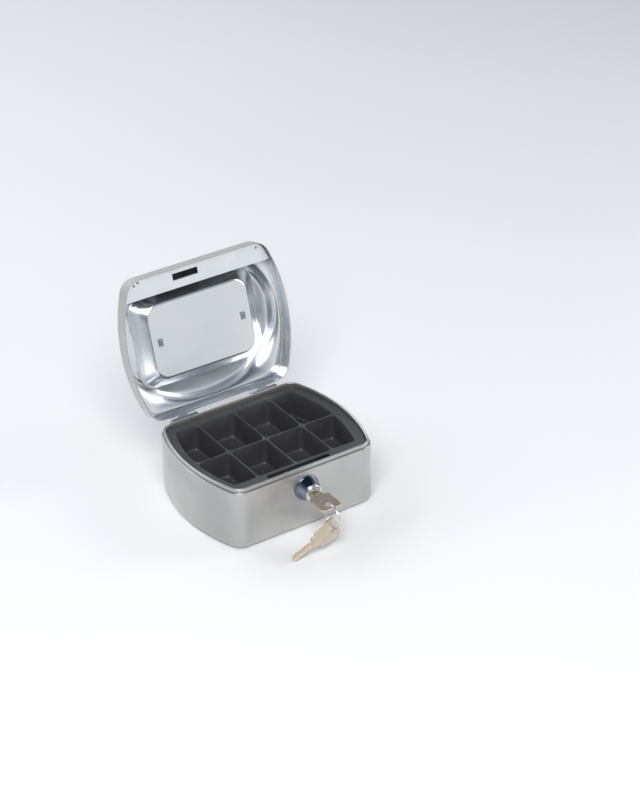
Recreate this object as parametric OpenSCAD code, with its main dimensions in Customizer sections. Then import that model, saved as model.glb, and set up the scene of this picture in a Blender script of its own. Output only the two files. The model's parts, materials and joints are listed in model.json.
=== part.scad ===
// Steel cash box with a hinged lid, a lift-out coin tray, a cam lock and a carrying bail.
// Origin: centre of the underside of the base. +X right, +Y rear, +Z up.
// The box is drawn open and unlocked, with the tray seated and the key in the lock.

/* [Box] */
// Overall width, across the bulging sides
box_w = 152; // [140:1:190]
// Overall depth, front wall to rear wall
box_d = 118.6; // [110:0.1:150]
// How far each side bulges beyond its corners
side_bulge = 13.2; // [8:0.1:16]
// Corner radius in plan
corner_r = 13; // [11:0.5:16]
// Height of the shoulder that the lid closes on
shoulder_z = 52.3; // [44:0.1:75]
// Sheet steel thickness
sheet_t = 0.8; // [0.6:0.1:1]
// Bottom edge radius
foot_r = 4; // [3:0.5:6]

/* [Rim] */
// Height of the rim above the shoulder
rim_h = 3.4; // [2.5:0.1:4]
// Step inwards from the wall to the rim
rim_inset = 1.6; // [1.3:0.1:2]
// Thickness of the folded rim
rim_t = 1.6; // [1.2:0.1:2]

/* [Lid] */
// Angle at which the open lid rests
lid_open = 106; // [95:1:110]
// Gap between the lid's skirt and the shoulder
lid_gap = 0.4; // [0.3:0.1:0.8]
// Height of the skirt up to the crease
skirt_h = 14.5; // [12:0.5:18]
// Radius of the crease above the skirt
crease_r = 2.5; // [1.5:0.5:3]
// Height of the oval ridge above the shoulder
ridge_h = 25; // [23:0.5:30]
// Distance from the side to the oval ridge
oval_side = 6; // [4:0.5:10]
// Distance from the front or rear to the oval ridge
oval_end = 4.8; // [4:0.2:8]
// Exponent of the oval: 2 is an ellipse
oval_power = 2.1; // [2:0.1:2.6]
// Ridge width at the side
ridge_side = 13.6; // [10:0.2:18]
// Ridge width at the front and rear
ridge_end = 17.5; // [14:0.5:22]
// Corner radius of the pan at its top
pan_r = 13; // [10:0.5:16]
// Depth of the pan floor below the ridge
pan_depth = 11.3; // [9:0.1:13]
// Inward draft of the pan wall at the side
draft_side = 10.1; // [6:0.1:12]
// Inward draft of the pan wall at the front and rear
draft_end = 6; // [4:0.1:8]

/* [Lock] */
// Depth of the lock's axis below the shoulder
lock_drop = 15.8; // [14:0.1:18]
// How far the lock stands out of the front wall
lock_proud = 11; // [8:0.5:13]
// Collar radius at the wall
collar_r = 11; // [9:0.5:13]
// Radius of the barrel's head
head_r = 7.2; // [6.6:0.1:8]
// Radius of the barrel's body
barrel_r = 6.5; // [6.2:0.1:7]
// Radius of the turning plug
plug_r = 5.2; // [5:0.1:5.4]
// Play of the turning and sliding fits of the lock
lock_play = 0.05; // [0.03:0.01:0.08]
// Distance from the front wall's inside to the cam
cam_setback = 6; // [5.5:0.1:6.5]
// Cam plate thickness
cam_t = 2; // [1.5:0.1:2.2]
// Reach of the cam from the lock's axis
cam_reach = 28.5; // [28:0.1:30]
// Width of the cam's stem
stem_w = 8; // [6:0.5:9]
// How far the hook passes the stem
hook_len = 6; // [4:0.5:7]
// Height of the lock strip above the shoulder
strip_lift = 4; // [3.9:0.1:4.4]
// Play between the hook and the strip it holds
hook_play = 0.6; // [0.4:0.1:1]

/* [Keys] */
// Bow width
bow_w = 18.5; // [16:0.5:22]
// Bow length
bow_len = 20; // [18:0.5:24]
// Key thickness
key_t = 2; // [1.6:0.1:2.2]
// Blade thickness
blade_t = 1.6; // [1.4:0.1:1.8]
// Blade width
blade_w = 6.2; // [5.5:0.1:6.4]
// Stepped neck between the bow and the lock's face
neck_len = 5; // [4:0.5:6]
// Length of blade inside the lock
blade_len = 20; // [18:0.5:20.5]
// Radius of the hole in the bow
bow_hole_r = 2.8; // [2.6:0.1:3]
// Mean radius of the split ring
ring_r = 10; // [9.8:0.1:11]

/* [Tray] */
// Gap around the tray inside the rim
tray_play = 0.45; // [0.3:0.05:0.8]
// Overall depth of the tray
tray_h = 24; // [18:0.5:30]
// Plastic thickness
tray_t = 1.2; // [1:0.1:1.5]
// Thickness of the tray's flange
flange_t = 1.6; // [1.2:0.1:2]
// Width of the flange at the sides
flange_side = 6; // [5.5:0.1:8]
// Width of the flange at the front
flange_front = 9.85; // [9:0.05:12]
// Width of the flange at the rear
flange_rear = 4.9; // [4:0.1:7]
// Distance between the tray's cross walls
cell_pitch = 34.7; // [28:0.1:38]
// How far the supporting ledge stands in from the wall
ledge_w = 5; // [4:0.1:5.2]

/* [Handle] */
// Wire radius of the bail
wire_r = 1.8; // [1.5:0.1:2.2]
// Height of the bail's pivot above the pan floor
pivot_h = 5; // [4.5:0.1:6]
// Gap between the folded bail and the edge of the pan floor
bail_gap = 0.9; // [0.5:0.1:3]
// Strap width of each bracket
strap_w = 4; // [3:0.5:5]

/* [Hinges] */
// Distance of the hinge axis behind the rear wall
hinge_back = 3.8; // [3.6:0.1:4.4]
// Depth of the hinge axis below the shoulder
hinge_drop = 0.9; // [0.6:0.1:1.2]
// Knuckle radius
knuckle_r = 2.5; // [2.3:0.1:2.8]
// Pin radius
pin_r = 1.1; // [0.9:0.05:1.3]
// Length of each hinge
hinge_len = 24; // [18:1:30]
// Distance from the centre to each hinge
hinge_x = 38; // [30:1:44]

/* [Hidden] */
$fn = 64;
eps = 0.01;

// Plan outline: straight front and rear, bulging sides and corner fillets, all parallel when inset.
side_steps = 6;
corner_steps = 6;
front_steps = 6;
half_w = box_w / 2;
half_d = box_d / 2;
arc_r = (pow(side_bulge, 2) + pow(half_d, 2)) / (2 * side_bulge);
arc_x = half_w - arc_r;
fillet_y = half_d - corner_r;
fillet_x = arc_x + sqrt(pow(arc_r - corner_r, 2) - pow(fillet_y, 2));
arc_end = atan2(fillet_y, fillet_x - arc_x);

// Heights and places shared by pieces that meet
wall_front = -half_d;
inside_front = wall_front + sheet_t;
rim_z = shoulder_z + rim_h;
oval_a = half_w - oval_side;
oval_b = half_d - oval_end;
pan_a = oval_a - ridge_side;
pan_b = oval_b - ridge_end;
floor_a = pan_a - draft_side;
floor_b = pan_b - draft_end;
floor_corner = pan_r - 2;
ridge_z = shoulder_z + ridge_h;
pan_z = ridge_z - pan_depth;
hinge_y = half_d + hinge_back;
hinge_z = shoulder_z - hinge_drop;
lock_z = shoulder_z - lock_drop;
face_y = wall_front - lock_proud;
cam_y = inside_front + cam_setback;
strip_z = shoulder_z + strip_lift;
hook_z = lock_drop + strip_lift + sheet_t + hook_play;
slot_room = 1.5;
slot_left = -sqrt(pow(cam_reach, 2) - pow(lock_drop + strip_lift, 2)) - slot_room;
slot_right = slot_room;
slot_y_room = 1.8;
strip_behind = 8.5;
strip_rear = cam_y + cam_t + strip_behind;
tray_inset = rim_inset + rim_t + tray_play;
seat_gap = 0.3;
ledge_drop = 2;
ledge_z = shoulder_z - ledge_drop;
flange_z = ledge_z + seat_gap;
body_inset = tray_inset + flange_side;
body_front = wall_front + tray_inset + flange_front;
body_rear = half_d - tray_inset - flange_rear;
pivot_z = pan_z + pivot_h;
bail_x = floor_a - wire_r - bail_gap;
bail_leg = floor_b - wire_r - bail_gap;
bracket_gap = 0.6;
bracket_x = bail_x - wire_r - bracket_gap - strap_w / 2;
fit_gap = 0.05;
through = 1;

function quarter(inset) = [
  for (k = [0 : side_steps - 1])
    let (angle = arc_end * k / side_steps)
    [arc_x + (arc_r - inset) * cos(angle), (arc_r - inset) * sin(angle)],
  for (k = [0 : corner_steps])
    let (angle = arc_end + (90 - arc_end) * k / corner_steps)
    [fillet_x + (corner_r - inset) * cos(angle), fillet_y + (corner_r - inset) * sin(angle)],
  for (k = [1 : front_steps])
    [fillet_x * (1 - k / front_steps), half_d - inset]
];

// Rounded rectangle with the same number of points as the plan outline
function quarter_rect(a, b, r) = [
  for (k = [0 : side_steps - 1])
    [a, (b - r) * k / side_steps],
  for (k = [0 : corner_steps])
    let (angle = 90 * k / corner_steps)
    [a - r + r * cos(angle), b - r + r * sin(angle)],
  for (k = [1 : front_steps])
    [(a - r) * (1 - k / front_steps), b]
];

// Oval whose points lie in the same directions as the plan outline's
function quarter_oval(a, b) = [
  for (p = quarter(0))
    let (angle = atan2(p[1] / half_d, p[0] / half_w))
    let (c = cos(angle), s = sin(angle))
    let (k = pow(pow(c, oval_power) + pow(s, oval_power), -1 / oval_power))
    [a * k * c, b * k * s]
];

// A whole outline from its first quarter
function whole(q) =
  let (last = len(q) - 1)
  [
    for (k = [0 : last]) q[k],
    for (k = [1 : last]) [-q[last - k][0], q[last - k][1]],
    for (k = [1 : last]) [-q[k][0], -q[k][1]],
    for (k = [1 : last - 1]) [q[last - k][0], -q[last - k][1]]
  ];

function plan(inset) = whole(quarter(inset));
function mix(p, q, share) = [for (k = [0 : len(p) - 1]) p[k] * (1 - share) + q[k] * share];
function at_height(points, z) = [for (p = points) [p[0], p[1], z]];

// Closed solid through a list of rings about the Z axis, capped at the first and the last
module loft(rings) {
  count = len(rings[0]);
  end = len(rings) - 1;
  corners = [for (ring = rings) for (p = ring) p];
  centres = [[0, 0, rings[0][0][2]], [0, 0, rings[end][0][2]]];
  first_centre = len(corners);
  last_centre = first_centre + 1;
  walls = [
    for (i = [0 : end - 1])
      for (j = [0 : count - 1])
        let (a = i * count + j, b = i * count + (j + 1) % count)
        each [[a, a + count, b + count], [a, b + count, b]]
  ];
  caps = [
    for (j = [0 : count - 1])
      let (next = (j + 1) % count)
      each [[first_centre, j, next], [last_centre, end * count + next, end * count + j]]
  ];
  polyhedron(points = concat(corners, centres), faces = concat(walls, caps), convexity = 10);
}

module plate(points, z, height) {
  translate([0, 0, z])
    linear_extrude(height) polygon(points);
}

// Cylinder along +X or +Y from a start point
module rod_x(start, length, r) {
  translate(start) rotate([0, 90, 0]) cylinder(h = length, r = r);
}

module rod_y(start, length, r) {
  translate(start) rotate([-90, 0, 0]) cylinder(h = length, r = r);
}

// Puts a piece drawn on the closed lid where the open lid is
module on_lid() {
  translate([0, hinge_y, hinge_z])
    rotate([-lid_open, 0, 0])
      translate([0, -hinge_y, -hinge_z])
        children();
}

// ---------------------------------------------------------------- base

foot_steps = 4;
inner_foot_r = foot_r - sheet_t;

shoulder_r = 0.7;
shoulder_ease = 0.2;
rim_ease = 0.15;
inner_step = 0.6;

module base_solid() {
  foot = [
    for (k = [0 : foot_steps])
      let (angle = 90 * k / foot_steps)
      at_height(plan(foot_r * (1 - sin(angle))), foot_r * (1 - cos(angle)))
  ];
  shoulder = [
    at_height(plan(0), shoulder_z - shoulder_r),
    at_height(plan(shoulder_ease), shoulder_z - shoulder_ease),
    at_height(plan(shoulder_r), shoulder_z),
    at_height(plan(rim_inset), shoulder_z)
  ];
  rim = [
    at_height(plan(rim_inset), rim_z - rim_t / 2),
    at_height(plan(rim_inset + rim_t * rim_ease), rim_z - rim_t * rim_ease),
    at_height(plan(rim_inset + rim_t / 2), rim_z),
    at_height(plan(rim_inset + rim_t * (1 - rim_ease)), rim_z - rim_t * rim_ease),
    at_height(plan(rim_inset + rim_t), rim_z - rim_t / 2),
    at_height(plan(rim_inset + rim_t), shoulder_z - sheet_t)
  ];
  inner_wall = [
    at_height(plan(sheet_t), shoulder_z - sheet_t - inner_step)
  ];
  inner_foot = [
    for (k = [foot_steps : -1 : 0])
      let (angle = 90 * k / foot_steps)
      at_height(plan(sheet_t + inner_foot_r * (1 - sin(angle))), sheet_t + inner_foot_r * (1 - cos(angle)))
  ];
  loft(concat(foot, shoulder, rim, inner_wall, inner_foot));
}

module base_shell() {
  color([0.74, 0.74, 0.72])
    difference() {
      base_solid();
      rod_y([0, wall_front - through, lock_z], sheet_t + 2 * through, barrel_r + fit_gap);
    }
}

// Curved angle strip along a side wall, with a rounded shelf that the tray's flange rests on
ledge_end = 17;
ledge_round = 3.2;
ledge_steps = 16;
ledge_leg = 4;
ledge_fit = 0.08;

function ledge_point(angle, inset) =
  [arc_x + (arc_r - inset) * cos(angle), (arc_r - inset) * sin(angle)];
function ledge_reach(angle) =
  let (e = max(0, (abs(angle) - (ledge_end - ledge_round)) / ledge_round))
  sheet_t + sheet_t + (ledge_w - sheet_t) * sqrt(max(0, 1 - e * e));
function ledge_angles() = [for (k = [-ledge_steps : ledge_steps]) ledge_end * k / ledge_steps];

module tray_ledge() {
  shelf = concat(
    [for (angle = ledge_angles()) ledge_point(angle, sheet_t + ledge_fit)],
    [for (angle = ledge_angles()) ledge_point(-angle, ledge_reach(angle))]
  );
  leg = concat(
    [for (angle = ledge_angles()) ledge_point(angle, sheet_t + ledge_fit)],
    [for (angle = ledge_angles()) ledge_point(-angle, 2 * sheet_t)]
  );
  plate(shelf, ledge_z - sheet_t, sheet_t);
  plate(leg, ledge_z - ledge_leg, ledge_leg - sheet_t / 2);
}

module tray_ledge_right() {
  color([0.7, 0.7, 0.7]) tray_ledge();
}

module tray_ledge_left() {
  color([0.7, 0.7, 0.7]) mirror([1, 0, 0]) tray_ledge();
}

// ---------------------------------------------------------------- lid

crease_end = 75;
cove_end = 72;
oval_r = 2;
pan_edge_r = 2.5;
pan_edge_drop = 1;
floor_r = 1.6;

strap_slot_room = 0.4;

function lid_outline(kind, inset) =
  kind == "wall" ? plan(inset) :
  kind == "oval" ? whole(quarter_oval(oval_a - inset, oval_b - inset)) :
  kind == "pan" ? whole(quarter_rect(pan_a - inset, pan_b - inset, pan_r - inset)) :
  whole(quarter_rect(floor_a - inset, floor_b - inset, floor_corner - inset));

// Each row: outline, its inset, next outline, its inset, share of the next, height, then how far
// the underside lies inwards and below, as shares of the sheet thickness
crease_z = shoulder_z + skirt_h;
cove_start_inset = crease_r * (1 - cos(crease_end));
cove_start_z = crease_z - crease_r * (1 - sin(crease_end));
cove_rise = ridge_z - oval_r - cove_start_z;
pan_top_z = ridge_z - pan_edge_drop;
lid_rows = [
  ["wall", 0, "wall", 0, 0, shoulder_z + lid_gap, 1, 0],
  for (angle = [0, 25, 50])
    ["wall", crease_r * (1 - cos(angle)), "wall", 0, 0,
      crease_z - crease_r * (1 - sin(angle)), cos(angle), sin(angle)],
  for (angle = [0 : cove_end / 5 : cove_end])
    ["wall", cove_start_inset, "oval", 0, sin(angle) / sin(cove_end),
      cove_start_z + cove_rise * (1 - cos(angle)) / (1 - cos(cove_end)), sin(angle), cos(angle)],
  for (angle = [35, 62, 90])
    ["oval", oval_r * (1 - cos(angle)), "oval", 0, 0,
      ridge_z - oval_r * (1 - sin(angle)), cos(angle), sin(angle)],
  ["oval", oval_r, "pan", -pan_edge_r, 0.5, ridge_z - pan_edge_drop / 3, 0, 1],
  for (angle = [0, 30, 60])
    ["pan", -pan_edge_r * (1 - sin(angle)), "pan", 0, 0,
      pan_top_z - pan_edge_r * (1 - cos(angle)), -sin(angle), cos(angle)],
  ["pan", 0, "floor", 0, 0.4, pan_z + (pan_top_z - pan_edge_r / 2 - pan_z) * 0.6, -0.8, 0.6],
  ["pan", 0, "floor", 0, 0.85, pan_z + floor_r, -0.8, 0.6],
  ["pan", 0, "floor", 0, 0.96, pan_z + floor_r * 0.35, -0.6, 0.8],
  ["floor", floor_r, "floor", 0, 0, pan_z, 0, 1]
];

function lid_ring(row, depth) =
  let (inward = depth * row[6])
  let (first = lid_outline(row[0], row[1] + inward))
  let (points = row[4] == 0 ? first : mix(first, lid_outline(row[2], row[3] + inward), row[4]))
  at_height(points, row[5] - depth * row[7]);

module lid_solid() {
  last = len(lid_rows) - 1;
  loft(concat(
    [for (k = [last : -1 : 0]) lid_ring(lid_rows[k], sheet_t)],
    [for (row = lid_rows) lid_ring(row, 0)]
  ));
}

module lid_shell() {
  color([0.76, 0.76, 0.74])
    on_lid()
      difference() {
        lid_solid();
        for (side = [-1, 1])
          translate([side * bracket_x, 0, pan_z])
            cube([strap_w + strap_slot_room, 2 * strap_t + strap_slot_room, 4 * sheet_t], center = true);
      }
}

// Flat strip across the front of the lid, with the slot that the cam's hook passes through
strip_gap = 0.3;
strip_flange_h = 6;

module lock_strip() {
  color([0.8, 0.82, 0.84])
    on_lid() {
      difference() {
        intersection() {
          plate(plan(sheet_t + strip_gap), strip_z, sheet_t);
          translate([-half_w, wall_front, strip_z - through])
            cube([box_w, strip_rear - wall_front, sheet_t + 2 * through]);
        }
        translate([slot_left, cam_y - slot_y_room, strip_z - through])
          cube([slot_right - slot_left, cam_t + 2 * slot_y_room, sheet_t + 2 * through]);
      }
      translate([-fillet_x, inside_front, strip_z])
        cube([2 * fillet_x, sheet_t, strip_flange_h]);
    }
}

// ---------------------------------------------------------------- hinges

leaf_t = 0.9;
leaf_h = 10;
knuckle_gap = 0.3;
middle_knuckle = hinge_len / 3 + 1;
pin_head = 0.8;
pin_head_r = pin_r * 1.5;

module knuckle(x, length) {
  difference() {
    rod_x([x, hinge_y, hinge_z], length, knuckle_r);
    rod_x([x - through, hinge_y, hinge_z], length + 2 * through, pin_r + fit_gap);
  }
}

// Arm that joins a leaf to its knuckle, tangent to the bottom (-1) or the top (+1) of the knuckle
module hinge_arm(x, length, side) {
  low = side < 0 ? hinge_z - knuckle_r : hinge_z + knuckle_r - leaf_t;
  difference() {
    translate([x, half_d, low]) cube([length, hinge_back, leaf_t]);
    rod_x([x - through, hinge_y, hinge_z], length + 2 * through, pin_r + fit_gap);
  }
}

module hinge_base_leaf(centre) {
  outer = (hinge_len - middle_knuckle) / 2 - knuckle_gap;
  top = hinge_z - knuckle_r + leaf_t;
  color([0.7, 0.7, 0.7]) {
    translate([centre - hinge_len / 2, half_d, top - leaf_h]) cube([hinge_len, leaf_t, leaf_h - leaf_t]);
    for (x = [centre - hinge_len / 2, centre + hinge_len / 2 - outer]) {
      knuckle(x, outer);
      hinge_arm(x, outer, -1);
    }
  }
}

module hinge_lid_leaf(centre) {
  x = centre - middle_knuckle / 2;
  low = hinge_z + knuckle_r - leaf_t;
  color([0.7, 0.7, 0.7])
    on_lid() {
      translate([centre - hinge_len / 2, half_d, low + leaf_t / 2])
        cube([hinge_len, leaf_t, leaf_h - leaf_t]);
      knuckle(x, middle_knuckle);
      hinge_arm(x, middle_knuckle, 1);
    }
}

module hinge_pin(centre) {
  color([0.8, 0.8, 0.82]) {
    rod_x([centre - hinge_len / 2, hinge_y, hinge_z], hinge_len, pin_r);
    for (x = [centre - hinge_len / 2 - pin_head, centre + hinge_len / 2])
      rod_x([x, hinge_y, hinge_z], pin_head, pin_head_r);
  }
}

module hinge_base_leaf_left() { hinge_base_leaf(-hinge_x); }
module hinge_base_leaf_right() { hinge_base_leaf(hinge_x); }
module hinge_lid_leaf_left() { hinge_lid_leaf(-hinge_x); }
module hinge_lid_leaf_right() { hinge_lid_leaf(hinge_x); }
module hinge_pin_left() { hinge_pin(-hinge_x); }
module hinge_pin_right() { hinge_pin(hinge_x); }

// ---------------------------------------------------------------- handle

strap_t = 0.9;
tab_len = 3;
bend_r = 6;
foot_bend_r = 2.6;
foot_past = 0.8;

// Strap looped round the foot of the bail, its two ends bent apart under the pan floor
module handle_bracket(side) {
  barrel = wire_r + fit_gap;
  stem = pivot_h + sheet_t;
  color([0.85, 0.86, 0.88])
    on_lid()
      translate([side * bracket_x - strap_w / 2, 0, pivot_z])
        difference() {
          union() {
            rod_x([0, 0, 0], strap_w, barrel + strap_t);
            translate([0, -strap_t, -stem]) cube([strap_w, 2 * strap_t, stem]);
            translate([0, -tab_len, -stem - strap_t]) cube([strap_w, 2 * tab_len, strap_t]);
          }
          rod_x([-through, 0, 0], strap_w + 2 * through, barrel);
        }
}

module handle_bracket_left() { handle_bracket(-1); }
module handle_bracket_right() { handle_bracket(1); }

// Quarter bend of wire in the XZ plane, its corner at the origin, from -Z to -X
module wire_bend(r) {
  translate([-r, 0, -r])
    rotate([90, 0, 0])
      rotate_extrude(angle = 90) translate([r, 0]) circle(r = wire_r, $fn = 32);
}

module half_bail() {
  foot_end = bracket_x - strap_w / 2 - foot_past;
  translate([bail_x, 0, foot_bend_r]) cylinder(h = bail_leg - bend_r - foot_bend_r, r = wire_r);
  translate([bail_x, 0, bail_leg]) wire_bend(bend_r);
  rod_x([-eps, 0, bail_leg], bail_x - bend_r + eps, wire_r);
  translate([bail_x, 0, 0]) mirror([0, 0, 1]) wire_bend(foot_bend_r);
  rod_x([foot_end, 0, 0], bail_x - foot_bend_r - foot_end, wire_r);
}

// The bail hangs straight down from the open lid
module handle_bail() {
  color([0.8, 0.82, 0.84])
    on_lid()
      translate([0, 0, pivot_z])
        rotate([lid_open - 180, 0, 0]) {
          half_bail();
          mirror([1, 0, 0]) half_bail();
        }
}

// ---------------------------------------------------------------- lock

head_t = 2.2;
collar_lip = 0.4;
barrel_cam_gap = 0.4;
barrel_rear = cam_y - barrel_cam_gap;
nut_t = 2.5;
nut_r = 9.5;
plug_recess = 0.3;
plug_tail = 2.4;
plug_rear = cam_y + cam_t + plug_tail;
flat_lead = 0.2;
flat_half = 4;
clip_t = 1;
clip_rim = 1.2;
clip_gap = 0.1;
hub_r = 7;
wafer_count = 5;
wafer_pitch = 2.6;
wafer_t = 1;
wafer_h = 5.4;
first_wafer = 4;
wafer_edge_gap = 0.1;
window_room_w = 0.3;
window_room_h = 0.2;
keyway_room = 0.2;

module lock_collar() {
  head_y = face_y + head_t;
  color([0.6, 0.64, 0.7])
    difference() {
      translate([0, wall_front, lock_z])
        rotate([90, 0, 0])
          cylinder(h = wall_front - head_y, r1 = collar_r, r2 = head_r + collar_lip);
      rod_y([0, head_y - through, lock_z], wall_front - head_y + 2 * through, barrel_r + fit_gap);
    }
}

module lock_barrel() {
  color([0.8, 0.82, 0.84])
    difference() {
      union() {
        rod_y([0, face_y, lock_z], head_t, head_r);
        rod_y([0, face_y, lock_z], barrel_rear - face_y, barrel_r);
      }
      rod_y([0, face_y - through, lock_z], barrel_rear - face_y + 2 * through, plug_r + lock_play);
    }
}

module lock_nut() {
  color([0.75, 0.76, 0.78])
    difference() {
      translate([0, inside_front, lock_z]) rotate([-90, 0, 0]) cylinder(h = nut_t, r = nut_r, $fn = 6);
      rod_y([0, inside_front - through, lock_z], nut_t + 2 * through, barrel_r + fit_gap);
    }
}

// Places of the wafers along the plug
function wafer_places() = [for (k = [0 : wafer_count - 1]) face_y + first_wafer + k * wafer_pitch];

module lock_plug() {
  front = face_y + plug_recess;
  color([0.78, 0.79, 0.8])
    difference() {
      rod_y([0, front, lock_z], plug_rear - front, plug_r);
      translate([-blade_w / 2 - keyway_room, front - through, lock_z - blade_t / 2 - keyway_room])
        cube([blade_w + 2 * keyway_room, plug_rear - front + 2 * through, blade_t + 2 * keyway_room]);
      for (y = wafer_places())
        translate([-plug_r - through, y - fit_gap, lock_z - wafer_h / 2 - fit_gap])
          cube([2 * (plug_r + through), wafer_t + 2 * fit_gap, wafer_h + 2 * fit_gap]);
      for (side = [-1, 1])
        translate([-plug_r, cam_y - flat_lead, lock_z + side * (flat_half + plug_r / 2) - plug_r / 2])
          cube([2 * plug_r, plug_rear - cam_y + through, plug_r]);
    }
}

module lock_wafers() {
  window_w = blade_w + 2 * keyway_room + window_room_w;
  window_h = blade_t + 2 * keyway_room + window_room_h;
  color([0.8, 0.7, 0.45])
    for (y = wafer_places())
      difference() {
        intersection() {
          translate([-plug_r, y, lock_z - wafer_h / 2]) cube([2 * plug_r, wafer_t, wafer_h]);
          rod_y([0, y - through, lock_z], wafer_t + 2 * through, plug_r - wafer_edge_gap);
        }
        translate([-window_w / 2, y - through, lock_z - window_h / 2])
          cube([window_w, wafer_t + 2 * through, window_h]);
      }
}

// Double-D shape of the plug's end, as a hole in the pieces that turn with it
module double_d() {
  intersection() {
    circle(r = plug_r + fit_gap);
    square([2 * (plug_r + through), 2 * (flat_half + fit_gap)], center = true);
  }
}

// Cam as it stands when locked: hub, upright stem, and a hook over the strip
module cam_outline() {
  circle(r = hub_r);
  intersection() {
    union() {
      translate([-stem_w, 0]) square([stem_w, cam_reach]);
      translate([-stem_w, hook_z]) square([stem_w + hook_len, cam_reach - hook_z]);
    }
    circle(r = cam_reach, $fn = 96);
  }
}

// The unlocked cam lies towards -X
module lock_cam() {
  color([0.75, 0.75, 0.76])
    translate([0, cam_y + cam_t, lock_z])
      rotate([90, 0, 0])
        linear_extrude(cam_t)
          difference() {
            rotate([0, 0, 90]) cam_outline();
            double_d();
          }
}

// Spring clip on the plug behind the cam
module cam_clip() {
  color([0.7, 0.7, 0.72])
    translate([0, cam_y + cam_t + clip_gap + clip_t, lock_z])
      rotate([90, 0, 0])
        linear_extrude(clip_t)
          difference() {
            circle(r = plug_r + clip_rim);
            double_d();
          }
}

// ---------------------------------------------------------------- keys

bow_corner_r = 3;
bow_hole_edge = 5.8;
neck_w = 11;
groove_w = 1.2;
groove_depth = 0.4;
groove_offset = 1;
blade_root = 1;
blade_tip = 2.4;
notch_flat = 0.3;
notch_places = [4.5, 7.5, 10.5, 14, 17];
notch_depths = [0.9, 0.5, 1.1, 0.7, 0.9];

// Flat key along +X from its bow's end, its hole centred on the origin
module key_outline() {
  start = -bow_hole_edge;
  neck_x = start + bow_len;
  difference() {
    union() {
      translate([start + bow_corner_r, -bow_w / 2]) square([bow_len - 2 * bow_corner_r, bow_w]);
      translate([start, -bow_w / 2 + bow_corner_r]) square([bow_len, bow_w - 2 * bow_corner_r]);
      for (x = [start + bow_corner_r, neck_x - bow_corner_r])
        for (side = [-1, 1])
          translate([x, side * (bow_w / 2 - bow_corner_r)]) circle(r = bow_corner_r, $fn = 32);
      translate([neck_x - through, -neck_w / 2]) square([neck_len + through, neck_w]);
    }
    circle(r = bow_hole_r, $fn = 48);
  }
}

module key_blade_outline() {
  difference() {
    polygon([
      [-blade_root, -blade_w / 2], [blade_len - blade_tip, -blade_w / 2], [blade_len, -blade_w / 6],
      [blade_len, blade_w / 6], [blade_len - blade_tip, blade_w / 2], [-blade_root, blade_w / 2]
    ]);
    for (k = [0 : len(notch_places) - 1])
      polygon([
        [notch_places[k] - notch_depths[k] - notch_flat, blade_w / 2 + eps],
        [notch_places[k] - notch_flat, blade_w / 2 - notch_depths[k]],
        [notch_places[k] + notch_flat, blade_w / 2 - notch_depths[k]],
        [notch_places[k] + notch_depths[k] + notch_flat, blade_w / 2 + eps]
      ]);
  }
}

module flat_key() {
  blade_x = bow_len - bow_hole_edge + neck_len;
  translate([0, 0, -key_t / 2]) linear_extrude(key_t) key_outline();
  difference() {
    translate([blade_x, 0, -blade_t / 2]) linear_extrude(blade_t) key_blade_outline();
    for (side = [-1, 1])
      translate([
        blade_x, side * groove_offset - groove_w / 2, side > 0 ? blade_t / 2 - groove_depth : -blade_t / 2
      ])
        cube([blade_len + through, groove_w, groove_depth]);
  }
}

// The inserted key lies flat, its shoulder against the lock's face
key_face_gap = 0.1;
key_hole_y = face_y - neck_len - bow_len + bow_hole_edge - key_face_gap;

module key_in_lock() {
  color([0.78, 0.72, 0.62])
    translate([0, key_hole_y, lock_z]) rotate([0, 0, 90]) flat_key();
}

// The ring hooks through the bow's hole and round its end
ring_wire_t = 1;
ring_wire_w = 1.8;
bridge = bow_hole_edge - bow_hole_r;
bridge_y = key_hole_y - bow_hole_edge + bridge / 2;
ring_shift = 1.6;
ring_y = bridge_y - ring_shift;
ring_drop = 7.6;
ring_z = lock_z - ring_drop;

module key_ring() {
  color([0.75, 0.75, 0.77])
    translate([-ring_wire_w / 2, ring_y, ring_z])
      rotate([0, 90, 0])
        rotate_extrude()
          translate([ring_r - ring_wire_t / 2, 0]) square([ring_wire_t, ring_wire_w]);
}

// The spare key hangs on the ring and leans with its tip just above the surface below
spare_z = ring_z - ring_r;
spare_offset = 1.4;
spare_reach = bow_len - bow_hole_edge + neck_len + blade_len + spare_offset;
tip_clear = 0.4;
spare_lean = asin((spare_z - blade_w / 2 - tip_clear) / spare_reach);

module spare_key() {
  color([0.78, 0.72, 0.62])
    translate([0, ring_y, spare_z])
      rotate([0, -spare_lean, 0])
        translate([-spare_offset, 0, 0])
          rotate([90, 0, 180])
            flat_key();
}

// ---------------------------------------------------------------- tray

cross_walls = 3;
side_walls = (cross_walls - 1) / 2;
divider_drop = 1;
notch_past_left = 8;
notch_past_right = 26.5;
notch_left = slot_left - notch_past_left;
notch_right = slot_right + notch_past_right;
notch_land = 1.4;
rear_extra = 2.5;
notch_depth = flange_front - notch_land;

// Outline of the tray's body: curved sides, straight front and rear
module body_plan(inset) {
  intersection() {
    polygon(plan(body_inset + inset));
    translate([-half_w, body_front + inset])
      square([box_w, body_rear - body_front - 2 * inset]);
  }
}

module coin_tray() {
  top = flange_z + flange_t;
  bottom = top - tray_h;
  middle_y = (body_front + body_rear) / 2 - rear_extra;
  color([0.27, 0.27, 0.28])
    difference() {
      union() {
        difference() {
          plate(plan(tray_inset), flange_z, flange_t);
          translate([notch_left, wall_front, flange_z - through])
            cube([notch_right - notch_left, tray_inset + notch_depth, flange_t + 2 * through]);
        }
        translate([0, 0, bottom]) linear_extrude(tray_h - flange_t / 2) body_plan(0);
      }
      for (column = [0 : cross_walls])
        for (row = [0 : 1])
          tray_pocket(column, row, middle_y, bottom);
      translate([0, 0, top - divider_drop]) linear_extrude(divider_drop + through) body_plan(tray_t);
    }
}

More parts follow.
